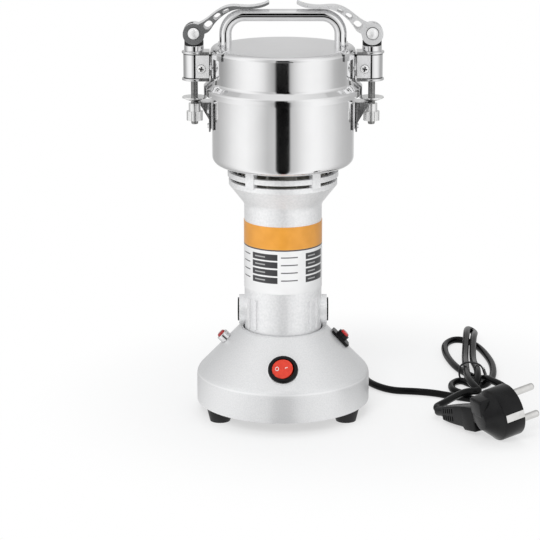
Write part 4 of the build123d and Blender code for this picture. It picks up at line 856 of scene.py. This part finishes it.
# Paper strips: bright at half left and half right, grey between, black in front and at the back.
left_papers = [
    (-149, 0.47), (-127, 0.49), (-111, 0.59), (-97, 0.72), (-86, 0.85), (-72, 0.95), (-60, 0.97), (-47, 0.87),
    (-36, 0.73), (-24, 0.55), (-15, 0.56), (-12, 0.64),
]
right_papers = [
    (11.5, 0.55), (20, 0.64), (28, 0.79), (36, 0.90), (46, 0.97), (58, 0.95), (73, 0.84), (84, 0.76),
    (95, 0.64), (108, 0.55), (123, 0.50), (144, 0.48),
]
black_front = [(-10.2, 0.0), (10.0, 0.0)]
grey_front = [(-10.2, 0.42), (10.0, 0.42)]
grey_back_left, grey_back_right = [(-180, 0.66)], [(180, 0.66)]
stripe_papers = (
    [(-180, 0.01), (-173, 0.01), (-171.5, 0.80)] + left_papers + black_front
    + right_papers + [(171.5, 0.80), (173, 0.01), (180, 0.01)]
)
lid_papers = [
    (-180, 0.60), (-128, 0.36), (-114, 0.34), (-101, 0.45), (-89, 0.62), (-78, 0.78), (-67, 0.90), (-55, 0.97),
    (-46, 0.97), (-38, 0.94), (-30, 0.81), (-22, 0.57), (-13, 0.37), (-10.2, 0.0), (9.2, 0.0), (10.2, 0.45),
    (17, 0.67), (25, 0.84), (33, 0.93), (42, 0.97), (58, 0.94), (68, 0.84), (78, 0.68), (88, 0.50), (100, 0.43),
    (114, 0.41), (128, 0.52), (180, 0.60),
]
gap_papers = grey_back_left + left_papers + grey_front + right_papers + grey_back_right
high_papers = grey_back_left + left_papers + black_front + right_papers + grey_back_right
crown_papers = grey_back_left + left_papers + right_papers + grey_back_right
# The tent's rings from the lowest up: where each begins to take over from the one below, and where it has.
tent_rings = (
    (0.124, 0.132, lid_papers), (0.182, 0.190, gap_papers), (0.262, 0.272, high_papers),
    (0.660, 0.670, crown_papers),
)
tent_middle = 0.501

# Floor: plain and matte with the mill's shadow near it, white farther out, paper strips in reflections.
clear_selection()
bpy.ops.mesh.primitive_plane_add(size=8)
floor = bpy.context.object
floor.name = "floor"
paper, tree, out = stage_material("floor_paper")
place = add_node(tree, "TexCoord")
axes = add_node(tree, "SeparateXYZ")
middle = add_node(tree, "Mapping", {"Location": (-0.05, -0.02, 0)})
reach = add_node(tree, "VectorMath", operation="LENGTH")
fade = add_node(
    tree, "MapRange", {"From Min": 0.10, "From Max": 0.24, "To Min": 0.60}, interpolation_type="SMOOTHSTEP"
)
matte = add_node(tree, "BsdfDiffuse", {"Color": (0.94, 0.94, 0.94, 1)})
glow = add_node(tree, "Emission")
mirrored = add_node(tree, "Emission")
path = add_node(tree, "LightPath")
mixed = add_node(tree, "MixShader")
shown = add_node(tree, "MixShader")
join(
    tree,
    (place.outputs["Object"], axes.inputs["Vector"]),
    (place.outputs["Object"], middle.inputs["Vector"]),
    (middle.outputs["Vector"], reach.inputs[0]),
    (reach.outputs["Value"], fade.inputs["Value"]),
    (fade.outputs["Result"], mixed.inputs["Fac"]),
    (matte.outputs["BSDF"], mixed.inputs[1]),
    (glow.outputs["Emission"], mixed.inputs[2]),
    (strips(tree, angle_round(tree, axes), stripe_papers), mirrored.inputs["Color"]),
    (path.outputs["Is Glossy Ray"], shown.inputs["Fac"]),
    (mixed.outputs["Shader"], shown.inputs[1]),
    (mirrored.outputs["Emission"], shown.inputs[2]),
    (shown.outputs["Shader"], out.inputs["Surface"]),
)
floor.data.materials.append(paper)

# Round tent of paper strips, seen only in reflections.
clear_selection()
bpy.ops.mesh.primitive_cylinder_add(
    vertices=128, radius=0.55, depth=1.0, end_fill_type="NOTHING", location=(0, 0, tent_middle)
)
tent = bpy.context.object
tent.name = "tent"
paper, tree, out = stage_material("tent_paper")
place = add_node(tree, "TexCoord")
axes = add_node(tree, "SeparateXYZ")
tree.links.new(place.outputs["Object"], axes.inputs["Vector"])
angle = angle_round(tree, axes)
papers = strips(tree, angle, stripe_papers)
for low, high, next_papers in tent_rings:
    edge = add_node(tree, "MapRange", {"From Min": low - tent_middle, "From Max": high - tent_middle})
    ring = add_node(tree, "Mix", data_type="RGBA")
    join(
        tree,
        (axes.outputs["Z"], edge.inputs["Value"]),
        (edge.outputs["Result"], ring.inputs["Factor"]),
        (papers, ring.inputs[6]),
        (strips(tree, angle, next_papers), ring.inputs[7]),
    )
    papers = ring.outputs[2]
glow = add_node(tree, "Emission")
join(tree, (papers, glow.inputs["Color"]), (glow.outputs["Emission"], out.inputs["Surface"]))
tent.data.materials.append(paper)
tent.visible_camera = False
tent.visible_diffuse = False
tent.visible_shadow = False
tent.visible_transmission = False

# World: white to the camera, in reflections a white roof that greys towards the back, soft light elsewhere.
world = bpy.data.worlds.new("studio")
scene.world = world
world.use_nodes = True
tree = world.node_tree
tree.nodes.clear()
path = add_node(tree, "LightPath")
heading = add_node(tree, "TexCoord")
axes = add_node(tree, "SeparateXYZ")
roof = add_node(tree, "MapRange", {"From Min": 0.05, "From Max": 0.6, "To Min": 1.0, "To Max": 0.62})
soft_light = add_node(tree, "Background", {"Color": (0.97, 0.985, 1.0, 1), "Strength": 0.52})
white = add_node(tree, "Background", {"Color": (1, 1, 1, 1)})
roof_light = add_node(tree, "Background")
reflected = add_node(tree, "MixShader")
seen = add_node(tree, "Math", operation="MAXIMUM")
mixed = add_node(tree, "MixShader")
out = add_node(tree, "OutputWorld")
join(
    tree,
    (heading.outputs["Generated"], axes.inputs["Vector"]),
    (axes.outputs["Y"], roof.inputs["Value"]),
    (roof.outputs["Result"], roof_light.inputs["Strength"]),
    (path.outputs["Is Glossy Ray"], reflected.inputs["Fac"]),
    (soft_light.outputs[0], reflected.inputs[1]),
    (roof_light.outputs[0], reflected.inputs[2]),
    (path.outputs["Is Camera Ray"], seen.inputs[0]),
    (path.outputs["Is Transmission Ray"], seen.inputs[1]),
    (seen.outputs[0], mixed.inputs["Fac"]),
    (reflected.outputs[0], mixed.inputs[1]),
    (white.outputs[0], mixed.inputs[2]),
    (mixed.outputs[0], out.inputs["Surface"]),
)


def soft_lamp(name, spot, aim, size, watts):
    """A square lamp that lights the mill but isn't mirrored in it."""
    lamp = bpy.data.lights.new(name, "AREA")
    lamp.size = size
    lamp.energy = watts
    holder = bpy.data.objects.new(name, lamp)
    holder.location = spot
    holder.rotation_euler = (Vector(aim) - Vector(spot)).to_track_quat("-Z", "Y").to_euler()
    holder.visible_glossy = False
    scene.collection.objects.link(holder)


soft_lamp("key_lamp", (-0.3, -1.25, 1.0), (0, 0, 0.1), 0.7, 12.5)
soft_lamp("top_lamp", (0.1, 0.3, 1.5), (0, 0, 0.1), 0.9, 3.5)
